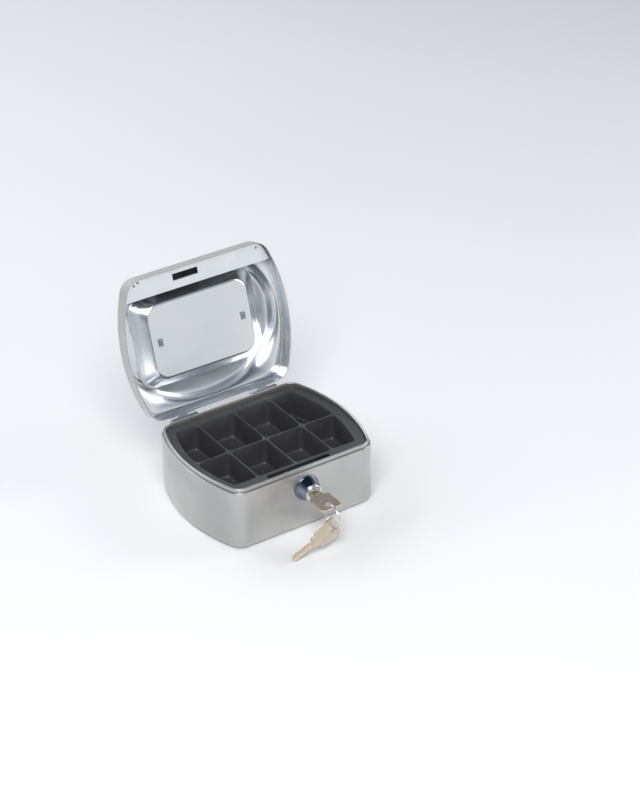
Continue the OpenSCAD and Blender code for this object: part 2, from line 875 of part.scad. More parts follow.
// One of the compartments, counted from the front left
module tray_pocket(column, row, middle_y, bottom) {
  low_x = column == 0 ? -half_w : (column - 1 - side_walls) * cell_pitch + tray_t / 2;
  high_x = column == cross_walls ? half_w : (column - side_walls) * cell_pitch - tray_t / 2;
  low_y = row == 0 ? -half_d : middle_y + tray_t / 2;
  high_y = row == 0 ? middle_y - tray_t / 2 : half_d;
  translate([0, 0, bottom + tray_t])
    linear_extrude(tray_h)
      intersection() {
        body_plan(tray_t);
        translate([low_x, low_y]) square([high_x - low_x, high_y - low_y]);
      }
}

// ---------------------------------------------------------------- pieces

base_shell();
tray_ledge_left();
tray_ledge_right();
lid_shell();
lock_strip();
hinge_base_leaf_left();
hinge_base_leaf_right();
hinge_lid_leaf_left();
hinge_lid_leaf_right();
hinge_pin_left();
hinge_pin_right();
handle_bracket_left();
handle_bracket_right();
handle_bail();
lock_collar();
lock_barrel();
lock_nut();
lock_plug();
lock_wafers();
lock_cam();
cam_clip();
key_in_lock();
key_ring();
spare_key();
coin_tray();
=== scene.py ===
"""Looks for the open cash box: smooth drawn-steel shells, moulded tray, chromed lock, keys and bail."""

import json
import math

import bmesh
import bpy
from mathutils import Matrix, Vector
from mathutils.geometry import delaunay_2d_cdt


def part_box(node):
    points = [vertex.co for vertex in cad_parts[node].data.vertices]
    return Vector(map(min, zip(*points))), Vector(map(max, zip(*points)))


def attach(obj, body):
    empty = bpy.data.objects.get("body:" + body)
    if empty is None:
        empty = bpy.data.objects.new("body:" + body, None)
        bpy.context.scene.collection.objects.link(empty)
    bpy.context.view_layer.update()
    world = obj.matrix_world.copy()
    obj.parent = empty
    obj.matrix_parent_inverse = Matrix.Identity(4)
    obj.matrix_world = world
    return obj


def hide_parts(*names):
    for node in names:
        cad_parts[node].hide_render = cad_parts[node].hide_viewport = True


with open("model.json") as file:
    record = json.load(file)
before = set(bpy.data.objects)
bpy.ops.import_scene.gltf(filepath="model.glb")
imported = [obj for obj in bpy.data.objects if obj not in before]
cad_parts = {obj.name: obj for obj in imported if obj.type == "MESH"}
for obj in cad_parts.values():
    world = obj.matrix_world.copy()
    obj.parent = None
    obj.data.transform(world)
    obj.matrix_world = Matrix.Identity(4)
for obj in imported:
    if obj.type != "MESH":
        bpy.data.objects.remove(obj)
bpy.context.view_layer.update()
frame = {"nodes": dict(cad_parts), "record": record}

MM = 0.001

# ------------------------------------------------------------------ sizes

base_low, base_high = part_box("base_shell")
HALF_W = (base_high.x - base_low.x) / 2
HALF_D = (base_high.y - base_low.y) / 2
RIM_Z = base_high.z
SHEET = 0.8 * MM
INNER_STEP = 0.6 * MM
SIDE_BULGE = 13.2 * MM
CORNER_R = 13 * MM
FOOT_R = 4 * MM
RIM_H = 3.4 * MM
RIM_INSET = 1.6 * MM
RIM_T = 1.6 * MM
SHOULDER_Z = RIM_Z - RIM_H

joints = {joint["name"]: joint for joint in frame["record"]["behaviour"]["joints"]}
HINGE = Vector(joints["lid_hinge"]["pos_m"])
LID_OPEN = math.radians(-joints["lid_hinge"]["range_deg"][0])
BAIL_PIVOT = Vector(joints["handle_swing"]["pos_m"])
LOCK_Z = joints["lock_turn"]["pos_m"][2]
KEY_HOLE = Vector(joints["ring_swing"]["pos_m"])
SPARE_PIVOT = Vector(joints["spare_key_swing"]["pos_m"])

WALL_FRONT = -HALF_D
ARC_R = (SIDE_BULGE**2 + HALF_D**2) / (2 * SIDE_BULGE)
ARC_X = HALF_W - ARC_R
FILLET_Y = HALF_D - CORNER_R
FILLET_X = ARC_X + math.sqrt((ARC_R - CORNER_R) ** 2 - FILLET_Y**2)
ARC_END = math.atan2(FILLET_Y, FILLET_X - ARC_X)
SIDE_STEPS, CORNER_STEPS, FRONT_STEPS = 18, 14, 20

# ------------------------------------------------------------------ outlines


def quarter_plan(inset):
    """Front right quarter of the box's plan outline, from the side to the middle of the rear."""
    side = [ARC_END * k / SIDE_STEPS for k in range(SIDE_STEPS)]
    corner = [ARC_END + (math.pi / 2 - ARC_END) * k / CORNER_STEPS for k in range(CORNER_STEPS + 1)]
    points = [(ARC_X + (ARC_R - inset) * math.cos(a), (ARC_R - inset) * math.sin(a)) for a in side]
    points += [
        (FILLET_X + (CORNER_R - inset) * math.cos(a), FILLET_Y + (CORNER_R - inset) * math.sin(a))
        for a in corner
    ]
    points += [(FILLET_X * (1 - k / FRONT_STEPS), HALF_D - inset) for k in range(1, FRONT_STEPS + 1)]
    return points


def quarter_rect(a, b, r):
    """Quarter of a rounded rectangle with as many points as the plan outline."""
    turns = [math.pi / 2 * k / CORNER_STEPS for k in range(CORNER_STEPS + 1)]
    points = [(a, (b - r) * k / SIDE_STEPS) for k in range(SIDE_STEPS)]
    points += [(a - r + r * math.cos(t), b - r + r * math.sin(t)) for t in turns]
    points += [((a - r) * (1 - k / FRONT_STEPS), b) for k in range(1, FRONT_STEPS + 1)]
    return points


def quarter_oval(a, b, power=2.1):
    """Quarter of an oval whose points lie in the same directions as the plan outline's."""
    points = []
    for x, y in quarter_plan(0):
        angle = math.atan2(y / HALF_D, x / HALF_W)
        c, s = max(0.0, math.cos(angle)), math.sin(angle)
        k = (c**power + s**power) ** (-1 / power)
        points.append((a * k * c, b * k * s))
    return points


def whole(q):
    """A whole outline from its first quarter."""
    return (
        q
        + [(-x, y) for x, y in reversed(q[:-1])]
        + [(-x, -y) for x, y in q[1:]]
        + [(x, -y) for x, y in reversed(q[1:-1])]
    )


def plan(inset):
    return whole(quarter_plan(inset))


def mix(p, q, share):
    return [(a[0] + (b[0] - a[0]) * share, a[1] + (b[1] - a[1]) * share) for a, b in zip(p, q)]


def offset(points, distance):
    """A closed outline moved inwards by a distance; outwards if it is negative."""
    count = len(points)
    moved = []
    for k in range(count):
        before = Vector(points[k - 1])
        here = Vector(points[k])
        after = Vector(points[(k + 1) % count])
        first = (here - before).normalized()
        second = (after - here).normalized()
        normal = Vector((-first.y - second.y, first.x + second.x))
        normal /= max(0.3, normal.length_squared / 2)
        moved.append(tuple(here + normal * distance))
    return moved


def spaced(points, least=0.02 * MM):
    """A closed outline without points that nearly coincide."""
    kept = []
    for point in points:
        if not kept or math.dist(point, kept[-1]) > least:
            kept.append(point)
    while math.dist(kept[0], kept[-1]) < least:
        kept.pop()
    return kept


def clip(points, axis, limit, keep_above):
    """A convex outline cut by a line x = limit (axis 0) or y = limit (axis 1)."""
    sign = 1 if keep_above else -1
    kept = []
    for k, here in enumerate(points):
        before = points[k - 1]
        inside_here = sign * (here[axis] - limit) >= 0
        inside_before = sign * (before[axis] - limit) >= 0
        if inside_here != inside_before:
            share = (limit - before[axis]) / (here[axis] - before[axis])
            kept += mix([before], [here], share)
        if inside_here:
            kept.append(here)
    return spaced(kept)


def along(points, lengths, place):
    """The point at a distance along a closed outline."""
    total = lengths[-1]
    place %= total
    k = max(i for i in range(len(points)) if lengths[i] <= place)
    share = (place - lengths[k]) / max(1e-9, lengths[k + 1] - lengths[k])
    start, end = Vector(points[k]), Vector(points[(k + 1) % len(points)])
    return start.lerp(end, share)


def rounded(points, radius, steps=8, sharp=0.35):
    """Rounds the corners of a closed outline that turn by more than sharp radians."""
    points = spaced(points)
    count = len(points)
    lengths = [0.0]
    for k in range(count):
        lengths.append(lengths[-1] + math.dist(points[k], points[(k + 1) % count]))
    corners = []
    for k in range(count):
        u = Vector(points[k]) - Vector(points[k - 1])
        v = Vector(points[(k + 1) % count]) - Vector(points[k])
        turn = u.angle(v)
        if turn > sharp:
            corners.append((k, 1.3 * radius * math.tan(min(turn, 2.2) / 2)))
    total = lengths[-1]
    spans = [
        (lengths[corners[(i + 1) % len(corners)][0]] - lengths[corners[i][0]]) % total or total
        for i in range(len(corners))
    ]
    out = []
    for i, (k, reach) in enumerate(corners):
        reach_before = min(reach, 0.48 * spans[i - 1], 0.48 * spans[i])
        start = along(points, lengths, lengths[k] - reach_before)
        end = along(points, lengths, lengths[k] + reach_before)
        here = Vector(points[k])
        for s in range(steps + 1):
            t = s / steps
            out.append(tuple(start * (1 - t) ** 2 + here * 2 * t * (1 - t) + end * t**2))
        _, next_reach = corners[(i + 1) % len(corners)]
        next_reach = min(next_reach, 0.48 * spans[i], 0.48 * spans[(i + 1) % len(corners)])
        for step in range(1, count):
            j = (k + step) % count
            passed = (lengths[j] - lengths[k]) % total
            if passed >= spans[i] - next_reach:
                break
            if passed > reach_before:
                out.append(points[j])
    return spaced(out)


# ------------------------------------------------------------------ mesh tools


def link_object(name, data):
    obj = bpy.data.objects.new(name, data)
    bpy.context.collection.objects.link(obj)
    return obj


def to_mesh(name, bm):
    mesh = bpy.data.meshes.new(name)
    bm.to_mesh(mesh)
    bm.free()
    return mesh


def new_object(name, mesh, smooth_angle=35):
    """Links a mesh as an object, shaded smooth except across sharp edges."""
    obj = link_object(name, mesh)
    for polygon in mesh.polygons:
        polygon.use_smooth = True
    mesh.set_sharp_from_angle(angle=math.radians(smooth_angle))
    return obj


def finish_mesh(name, bm, smooth_angle=35):
    bmesh.ops.remove_doubles(bm, verts=bm.verts, dist=1e-7)
    bmesh.ops.recalc_face_normals(bm, faces=bm.faces)
    return new_object(name, to_mesh(name, bm), smooth_angle)


def add_ring(bm, points, z):
    return [bm.verts.new((x, y, z)) for x, y in points]


def bridge(bm, low, high, material=0):
    """Quads between two rings with the same number of points."""
    count = len(low)
    for k in range(count):
        face = bm.faces.new((low[k], low[(k + 1) % count], high[(k + 1) % count], high[k]))
        face.material_index = material


def cap(bm, ring, material=0):
    bm.faces.new(ring).material_index = material


def holds(ring, x, y):
    """Whether a point in the plane lies within a closed ring."""
    inside = False
    for k, here in enumerate(ring):
        before = ring[k - 1]
        if (here.co.y > y) != (before.co.y > y):
            share = (y - here.co.y) / (before.co.y - here.co.y)
            if x < here.co.x + (before.co.x - here.co.x) * share:
                inside = not inside
    return inside


def fill_between(bm, rings, material=0):
    """Flat faces between closed level rings: an outer ring and its holes."""
    verts = [vert for ring in rings for vert in ring]
    edges, start = [], 0
    for ring in rings:
        edges += [(start + k, start + (k + 1) % len(ring)) for k in range(len(ring))]
        start += len(ring)
    flat = [Vector((vert.co.x, vert.co.y)) for vert in verts]
    _, _, faces, origins, _, _ = delaunay_2d_cdt(flat, edges, [], 0, 1e-8)
    for face in faces:
        corners = [verts[origins[k][0]] for k in face]
        x = sum(vert.co.x for vert in corners) / 3
        y = sum(vert.co.y for vert in corners) / 3
        if sum(holds(ring, x, y) for ring in rings) == 1:
            bm.faces.new(corners).material_index = material


def lathe(name, profile, steps=96, smooth_angle=35):
    """Solid turned about the Y axis from (radius, y) points, closed back to its start."""
    bm = bmesh.new()
    rings = []
    for radius, y in profile:
        turns = [2 * math.pi * k / steps for k in range(steps)]
        rings.append([bm.verts.new((radius * math.cos(t), y, radius * math.sin(t))) for t in turns])
    for k in range(len(rings)):
        bridge(bm, rings[k], rings[(k + 1) % len(rings)])
    return finish_mesh(name, bm, smooth_angle)


def tube(name, path, radius, closed=False, sides=20, smooth_angle=60):
    """Round wire along a path of points, with flat ends unless it is closed."""
    bm = bmesh.new()
    rings = []
    count = len(path)
    normal = None
    for k in range(count):
        before = path[k - 1] if closed or k else path[0]
        after = path[(k + 1) % count] if closed or k < count - 1 else path[-1]
        forward = (after - before).normalized()
        if normal is None:
            normal = forward.orthogonal().normalized()
        normal = (normal - forward * normal.dot(forward)).normalized()
        side = forward.cross(normal)
        turns = [2 * math.pi * s / sides for s in range(sides)]
        spokes = [normal * math.cos(t) + side * math.sin(t) for t in turns]
        rings.append([bm.verts.new(path[k] + spoke * radius) for spoke in spokes])
    for k in range(count - 1):
        bridge(bm, rings[k], rings[k + 1])
    if closed:
        bridge(bm, rings[-1], rings[0])
    else:
        cap(bm, rings[0])
        cap(bm, rings[-1])
    return finish_mesh(name, bm, smooth_angle)


def plate(name, outlines, thickness, bevel, smooth_angle=35):
    """Flat plate with bevelled edges: the first outline is its edge and the rest are its holes."""
    bm = bmesh.new()
    half = thickness / 2
    levels = [(-half, bevel), (-half + bevel * 0.3, bevel * 0.3), (-half + bevel, 0)]
    levels += [(-z, inset) for z, inset in reversed(levels)]
    bottoms, tops = [], []
    for index, outline in enumerate(outlines):
        sign = 1 if index == 0 else -1
        rings = [add_ring(bm, offset(outline, sign * inset), z) for z, inset in levels]
        for low, high in zip(rings, rings[1:]):
            bridge(bm, low, high)
        bottoms.append(rings[0])
        tops.append(rings[-1])
    fill_between(bm, bottoms)
    fill_between(bm, tops)
    return finish_mesh(name, bm, smooth_angle)


def box_mesh(name, low, high):
    """Box between two corners, for cutting."""
    bm = bmesh.new()
    bmesh.ops.create_cube(bm, size=1)
    low, high = Vector(low), Vector(high)
    for vert in bm.verts:
        vert.co = Vector([(low[i] + high[i]) / 2 + vert.co[i] * (high[i] - low[i]) for i in range(3)])
    return link_object(name, to_mesh(name, bm))


def cylinder_y(name, centre, radius, length):
    """Closed cylinder along Y, for cutting."""
    bm = bmesh.new()
    bmesh.ops.create_cone(bm, cap_ends=True, segments=96, radius1=radius, radius2=radius, depth=length)
    mesh = to_mesh(name, bm)
    mesh.transform(Matrix.Translation(centre) @ Matrix.Rotation(math.pi / 2, 4, "X"))
    return link_object(name, mesh)


def cut(obj, *tools):
    """Cuts tools out of an object and removes them."""
    for tool in tools:
        modifier = obj.modifiers.new("cut", "BOOLEAN")
        modifier.object = tool
        modifier.operation = "DIFFERENCE"
        modifier.solver = "EXACT"
    apply_modifiers(obj)
    for tool in tools:
        bpy.data.objects.remove(tool)


def apply_modifiers(obj):
    graph = bpy.context.evaluated_depsgraph_get()
    mesh = bpy.data.meshes.new_from_object(obj.evaluated_get(graph))
    obj.modifiers.clear()
    obj.data = mesh


def place(obj, matrix):
    """Moves an object's mesh and leaves the object itself at the origin."""
    obj.data.transform(matrix)
    if matrix.is_negative:
        obj.data.flip_normals()


def join(name, parts):
    """One mesh from several."""
    bm = bmesh.new()
    for part in parts:
        bm.from_mesh(part.data)
    mesh = to_mesh(name, bm)
    for part in parts:
        bpy.data.objects.remove(part)
    return new_object(name, mesh)


ON_LID = (
    Matrix.Translation(HINGE)
    @ Matrix.Rotation(-LID_OPEN, 4, "X")
    @ Matrix.Translation(-HINGE)
)

# ------------------------------------------------------------------ materials


class Surface:
    """A principled material with short calls for the nodes that these finishes share."""

    def __init__(self, name, colour, metallic, roughness, **constants):
        self.material = bpy.data.materials.new(name)
        self.material.use_nodes = True
        self.nodes = self.material.node_tree.nodes
        self.links = self.material.node_tree.links
        self.shader = self.nodes["Principled BSDF"]
        self.shader.inputs["Base Color"].default_value = (*colour, 1)
        self.shader.inputs["Metallic"].default_value = metallic
        self.shader.inputs["Roughness"].default_value = roughness
        for socket, value in constants.items():
            self.shader.inputs[socket.replace("_", " ")].default_value = value
        self.coords = self.nodes.new("ShaderNodeTexCoord")
        self.normal = None

    def noise(self, scale, detail=3.0, stretch=(1, 1, 1), distortion=0.0):
        mapping = self.nodes.new("ShaderNodeMapping")
        mapping.inputs["Scale"].default_value = stretch
        self.links.new(self.coords.outputs["Object"], mapping.inputs["Vector"])
        noise = self.nodes.new("ShaderNodeTexNoise")
        noise.inputs["Scale"].default_value = scale
        noise.inputs["Detail"].default_value = detail
        noise.inputs["Distortion"].default_value = distortion
        self.links.new(mapping.outputs["Vector"], noise.inputs["Vector"])
        return noise.outputs["Fac"]

    def ramp(self, value, low, high, out_low, out_high):
        node = self.nodes.new("ShaderNodeMapRange")
        node.inputs["From Min"].default_value = low
        node.inputs["From Max"].default_value = high
        node.inputs["To Min"].default_value = out_low
        node.inputs["To Max"].default_value = out_high
        self.links.new(value, node.inputs["Value"])
        return node.outputs["Result"]

    def add(self, first, second):
        node = self.nodes.new("ShaderNodeMath")
        self.links.new(first, node.inputs[0])
        self.links.new(second, node.inputs[1])
        return node.outputs[0]

    def blend_colour(self, factor, first, second):
        node = self.nodes.new("ShaderNodeMix")
        node.data_type = "RGBA"
        node.inputs["A"].default_value = (*first, 1) if isinstance(first, tuple) else (0, 0, 0, 1)
        node.inputs["B"].default_value = (*second, 1)
        if not isinstance(first, tuple):
            self.links.new(first, node.inputs["A"])
        self.links.new(factor, node.inputs["Factor"])
        return node.outputs["Result"]

    def along(self, direction):
        """Distance along a direction in the object's own coordinates."""
        node = self.nodes.new("ShaderNodeVectorMath")
        node.operation = "DOT_PRODUCT"
        node.inputs[1].default_value = direction
        self.links.new(self.coords.outputs["Object"], node.inputs[0])
        return node.outputs["Value"]

    def mottle(self, noise, low, high, first, second):
        """Two colours mixed by a noise between two of its levels."""
        return self.blend_colour(self.ramp(noise, low, high, 0, 1), first, second)

    def edges(self, low, high):
        """How convex the surface is, from 0 on flats to 1 on worn edges."""
        geometry = self.nodes.new("ShaderNodeNewGeometry")
        return self.ramp(geometry.outputs["Pointiness"], low, high, 0, 1)

    def colour(self, output):
        self.links.new(output, self.shader.inputs["Base Color"])

    def roughness(self, value, low, high, smooth, dull):
        """Roughness that follows a value between two of its levels."""
        output = self.ramp(value, low, high, smooth, dull)
        self.links.new(output, self.shader.inputs["Roughness"])

    def bump(self, height, strength, distance):
        node = self.nodes.new("ShaderNodeBump")
        node.inputs["Strength"].default_value = strength
        node.inputs["Distance"].default_value = distance
        self.links.new(height, node.inputs["Height"])
        if self.normal:
            self.links.new(self.normal, node.inputs["Normal"])
        self.normal = node.outputs["Normal"]
        self.links.new(self.normal, self.shader.inputs["Normal"])


def silver_lacquer():
    """Satin silver lacquer on drawn steel: fine flake, soft mottling and a faint orange peel."""
    s = Surface("silver_lacquer", (0.5, 0.5, 0.49), 0.88, 0.34, Coat_Weight=0.15, Coat_Roughness=0.3)
    cloud = s.noise(16, 3, distortion=0.6)
    flake = s.noise(5200, 2)
    tone = s.mottle(cloud, 0.3, 0.7, (0.43, 0.43, 0.42), (0.55, 0.55, 0.535))
    s.colour(s.blend_colour(s.ramp(flake, 0.62, 0.8, 0, 0.5), tone, (0.74, 0.74, 0.73)))
    smear = s.noise(60, 5, (1, 1, 0.35))
    s.roughness(s.add(smear, s.ramp(flake, 0, 1, -0.15, 0.15)), 0.25, 0.75, 0.29, 0.4)
    s.bump(s.noise(900, 2), 0.06, 0.0002)
    s.bump(s.noise(38, 2), 0.1, 0.0012)
    return s.material


def lid_lining():
    """Bright drawn sheet inside the lid, with painted shade that darkens it towards near black in the
    channel behind the strip.
    """
    s = Surface("lid_lining", (0.76, 0.79, 0.83), 0.95, 0.24)
    streak = s.noise(60, 4, (1, 4, 4))
    tone = s.mottle(s.noise(14, 3), 0.3, 0.7, (0.7, 0.735, 0.77), (0.78, 0.805, 0.83))
    rearward = (0, math.cos(LID_OPEN), -math.sin(LID_OPEN))
    hinge_shift = (math.cos(LID_OPEN) - 1) * HINGE.y - math.sin(LID_OPEN) * HINGE.z
    shade_darkest_at, shade_gone_at = hinge_shift - 47 * MM, hinge_shift - 33 * MM
    # Painted shade: the colour darkens towards the strip along the closed lid's depth, standing in for the
    # shade in the channel behind it.
    dull = s.ramp(s.along(rearward), shade_darkest_at, shade_gone_at, 0.88, 0)
    s.colour(s.blend_colour(dull, tone, (0.07, 0.075, 0.085)))
    s.roughness(streak, 0.3, 0.7, 0.22, 0.27)
    s.bump(streak, 0.012, 0.0001)
    s.bump(s.noise(24, 2), 0.02, 0.001)
    return s.material


def plain_finish(name, colour, metallic, rough, tint, grain, bump=None):
    """Mottled colour and roughness with an optional fine bump.

    The tint is (noise scale, detail, low, high, first colour, second colour), the grain
    (noise scale, detail, smooth, dull) and the bump (noise scale, strength, distance).
    """
    s = Surface(name, colour, metallic, rough)
    scale, detail, low, high, first, second = tint
    s.colour(s.mottle(s.noise(scale, detail), low, high, first, second))
    scale, detail, smooth, dull = grain
    s.roughness(s.noise(scale, detail), 0.3, 0.7, smooth, dull)
    if bump:
        scale, strength, distance = bump
        s.bump(s.noise(scale, 2), strength, distance)
    return s.material


def strip_finish():
    """Flat, lightly brushed strip of plated sheet."""
    s = Surface("strip_finish", (0.8, 0.83, 0.86), 0.9, 0.36)
    fine = s.noise(420, 4, (0.5, 5, 5))
    s.colour(s.mottle(s.noise(40, 4), 0.3, 0.7, (0.76, 0.79, 0.825), (0.84, 0.865, 0.89)))
    s.roughness(fine, 0.3, 0.7, 0.32, 0.42)
    s.bump(fine, 0.03, 0.0001)
    return s.material


def plated_steel():
    """Zinc-plated sheet with fine rolling lines and small handling marks."""
    s = Surface("plated_steel", (0.72, 0.75, 0.79), 0.95, 0.28)
    lines = s.noise(160, 4, (0.3, 12, 12))
    marks = s.noise(420, 3, (1, 1, 1), 1.5)
    s.colour(s.blend_colour(s.ramp(marks, 0.6, 0.75, 0, 0.6), (0.74, 0.77, 0.81), (0.6, 0.62, 0.65)))
    s.roughness(lines, 0.3, 0.7, 0.22, 0.34)
    s.bump(lines, 0.06, 0.0001)
    return s.material


def chrome(name="chrome", dull=(0.76, 0.785, 0.82), clean=(0.83, 0.85, 0.875)):
    """Polished chrome with faint smears."""
    s = Surface(name, clean, 1.0, 0.07)
    s.colour(s.mottle(s.noise(120, 3), 0.35, 0.65, dull, clean))
    s.roughness(s.noise(260, 5, (1, 1, 1), 0.8), 0.35, 0.75, 0.05, 0.14)
    s.bump(s.noise(150, 2), 0.02, 0.0003)
    return s.material


def key_nickel(name="key_nickel", tint=(0.6, 0.51, 0.4), bright=(0.7, 0.61, 0.49)):
    """Warm nickel plate with pocket wear: brighter edges, hairline scratches."""
    s = Surface(name, tint, 0.95, 0.3)
    hair = s.noise(300, 5, (1, 6, 6), 0.4)
    patina = s.mottle(s.noise(140, 4), 0.35, 0.7, tint, bright)
    s.colour(s.blend_colour(s.edges(0.53, 0.7), patina, (0.82, 0.76, 0.66)))
    s.roughness(hair, 0.3, 0.7, 0.24, 0.4)
    s.bump(hair, 0.03, 0.0001)
    return s.material


def tray_plastic():
    """Moulded charcoal plastic with a fine spark-eroded grain and rubbed edges."""
    s = Surface("tray_plastic", (0.05, 0.05, 0.053), 0.0, 0.42, Specular_IOR_Level=0.55)
    cloud = s.noise(30, 4)
    tone = s.mottle(cloud, 0.3, 0.7, (0.043, 0.043, 0.046), (0.062, 0.062, 0.065))
    s.colour(s.blend_colour(s.ramp(s.edges(0.51, 0.6), 0, 1, 0, 0.5), tone, (0.16, 0.16, 0.165)))
    s.roughness(s.noise(240, 4), 0.3, 0.7, 0.34, 0.5)
    s.bump(s.noise(2600, 2), 0.18, 0.0001)
    return s.material


def pale_floor():
    s = Surface("pale_floor", (0.9, 0.9, 0.9), 0.0, 0.6)
    s.colour(s.mottle(s.noise(3, 3), 0.3, 0.7, (0.9, 0.9, 0.9), (0.92, 0.92, 0.92)))
    return s.material


SILVER = silver_lacquer()
LID_LINING = lid_lining()
STRIP_FINISH = strip_finish()
# Painted shade: a near-black sheet in the closed channel behind the strip and on the plug's keyway
# recesses, where only shade falls
PAINTED_SHADE = plain_finish(
    "painted_shade_sheet", (0.03, 0.03, 0.032), 0.6, 0.6,
    (60, 4, 0.3, 0.7, (0.02, 0.02, 0.022), (0.05, 0.05, 0.05)), (200, 4, 0.5, 0.7), (500, 0.1, 0.0002)
)
# Dull grey sheet inside the base: painted shade, the base's own steel given a darker grey inside because
# the inside lies in shade
SHADED_BASE_LINING = plain_finish(
    "base_lining_painted_shade", (0.34, 0.325, 0.31), 0.8, 0.4,
    (18, 4, 0.3, 0.7, (0.3, 0.285, 0.27), (0.4, 0.385, 0.37)), (90, 4, 0.33, 0.47), (800, 0.08, 0.0002)
)
PLATED = plated_steel()
CHROME = chrome()
# Painted reflection: the collar's chrome gets a dark navy colour that stands in for the dark studio it
# mirrors
CHROME_PAINTED_REFLECTION = chrome("collar_chrome_painted_reflection", (0.18, 0.22, 0.27), (0.27, 0.32, 0.38))
# Steel darkened where it was spot welded
SCORCHED = plain_finish(
    "scorched_steel", (0.12, 0.115, 0.11), 0.7, 0.5,
    (900, 3, 0.35, 0.7, (0.09, 0.085, 0.08), (0.26, 0.25, 0.24)), (700, 3, 0.4, 0.6)
)
# Dull cut ends of the bracket straps
TAB_STEEL = plain_finish(
    "tab_steel", (0.22, 0.22, 0.23), 0.85, 0.45,
    (600, 3, 0.35, 0.7, (0.16, 0.16, 0.17), (0.34, 0.34, 0.35)), (500, 3, 0.35, 0.55)
)
ZINC = plain_finish(
    "zinc", (0.64, 0.645, 0.65), 0.95, 0.38,
    (500, 3, 0.35, 0.7, (0.58, 0.585, 0.59), (0.7, 0.7, 0.7)), (900, 3, 0.32, 0.46), (1400, 0.1, 0.0001)
)
BRASS = plain_finish(
    "brass", (0.72, 0.56, 0.3), 1.0, 0.3,
    (300, 3, 0.4, 0.7, (0.72, 0.56, 0.3), (0.62, 0.48, 0.27)), (900, 3, 0.25, 0.38)
)
KEY_METAL = key_nickel()
PLUG_METAL = key_nickel("plug_nickel", (0.6, 0.58, 0.54), (0.74, 0.72, 0.68))
RING_METAL = key_nickel("ring_steel", (0.66, 0.67, 0.69), (0.8, 0.81, 0.83))
PLASTIC = tray_plastic()


def paint(obj, *materials):
    """Gives a piece its materials, which its faces already point at by number."""
    for material in materials:
        obj.data.materials.append(material)


def dress(obj, body, slot, *materials):
    """Gives a piece its materials and its body; the slot is not used."""
    paint(obj, *materials)
    evened = obj.modifiers.new("even_flats", "WEIGHTED_NORMAL")
    evened.keep_sharp = True
    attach(obj, body)


def arc(centre, radius, start, end, steps):
    """Points (a, b) on an arc, angles in degrees."""
    turns = [math.radians(start + (end - start) * k / steps) for k in range(steps + 1)]
    return [(centre[0] + radius * math.cos(t), centre[1] + radius * math.sin(t)) for t in turns]


# ------------------------------------------------------------------ base


BARREL_HOLE_R = 6.55 * MM
SILVER_ROWS_PAST_RIM = 6


def base_profile():
    """(inset, height) rows from the underside, over the rim, to the inner floor, and the rim's row."""
    outer = arc((FOOT_R, FOOT_R), FOOT_R, 270, 180, 12)
    shoulder_r = 0.7 * MM
    outer += arc((shoulder_r, SHOULDER_Z - shoulder_r), shoulder_r, 180, 90, 6)
    seam = 0.25 * MM
    outer += [(RIM_INSET - seam, SHOULDER_Z), (RIM_INSET - seam, SHOULDER_Z - seam)]
    outer += [(RIM_INSET, SHOULDER_Z - seam)]
    rim_r = RIM_T / 2
    outer += arc((RIM_INSET + rim_r, RIM_Z - rim_r), rim_r, 180, 90, 8)
    rim_row = len(outer) - 1
    inner = arc((RIM_INSET + rim_r, RIM_Z - rim_r), rim_r, 78.75, 0, 7)
    inner += [(RIM_INSET + RIM_T, SHOULDER_Z - SHEET), (SHEET, SHOULDER_Z - SHEET - INNER_STEP)]
    inner_r = FOOT_R - SHEET
    inner += arc((SHEET + inner_r, SHEET + inner_r), inner_r, 180, 270, 10)
    return outer + inner, rim_row


def build_base():
    rows, rim_row = base_profile()
    bm = bmesh.new()
    rings = [add_ring(bm, plan(inset), z) for inset, z in rows]
    cap(bm, rings[0])
    # The inner faces past the rim and the inner floor take the painted shade of the inside
    cap(bm, rings[-1], 1)
    for k in range(len(rings) - 1):
        bridge(bm, rings[k], rings[k + 1], 1 if k > rim_row + SILVER_ROWS_PAST_RIM else 0)
    shell = finish_mesh("base_skin", bm)
    paint(shell, SILVER, SHADED_BASE_LINING)
    cut(shell, cylinder_y("lock_hole", (0, WALL_FRONT, LOCK_Z), BARREL_HOLE_R, 4 * MM))
    dress(shell, "base", "silver_lacquer")
    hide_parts("base_shell")


# ------------------------------------------------------------------ lid

LID_GAP = 0.4 * MM
SKIRT_H = 14.5 * MM
CREASE_R = 2.5 * MM
RIDGE_Z = SHOULDER_Z + 24.93 * MM
OVAL_A, OVAL_B = HALF_W - 6 * MM, HALF_D - 4.8 * MM
PAN_A, PAN_B = OVAL_A - 13.6 * MM, OVAL_B - 17.5 * MM
PAN_R = 13 * MM
PAN_Z = RIDGE_Z - 11.3 * MM
FLOOR_A, FLOOR_B = PAN_A - 10.1 * MM, PAN_B - 6 * MM
FLOOR_CORNER = PAN_R - 2 * MM
OVAL_R = 2 * MM
PAN_EDGE_R = 2.5 * MM
FLOOR_R = 1.6 * MM
PAN_LIP_DROP = 1 * MM

WIRE_R = 1.8 * MM
BAIL_GAP = 0.9 * MM
STRAP_W = 4 * MM
STRAP_GAP = 0.6 * MM
PIVOT_H = 5 * MM
BAIL_X = FLOOR_A - WIRE_R - BAIL_GAP
BAIL_LEG = FLOOR_B - WIRE_R - BAIL_GAP
BRACKET_X = BAIL_X - WIRE_R - STRAP_GAP - STRAP_W / 2
STRAP_SLOT_HALF = (2.3 * MM, 1.9 * MM, 2 * MM)
CAM_Y = WALL_FRONT + SHEET + 6 * MM
STRIP_Z = SHOULDER_Z + 4 * MM
# Bounds of the patch behind the strip where the lining gives way to the painted shade sheet
CHANNEL_LEFT, CHANNEL_RIGHT = -26 * MM, 18 * MM
CHANNEL_REAR = -43 * MM


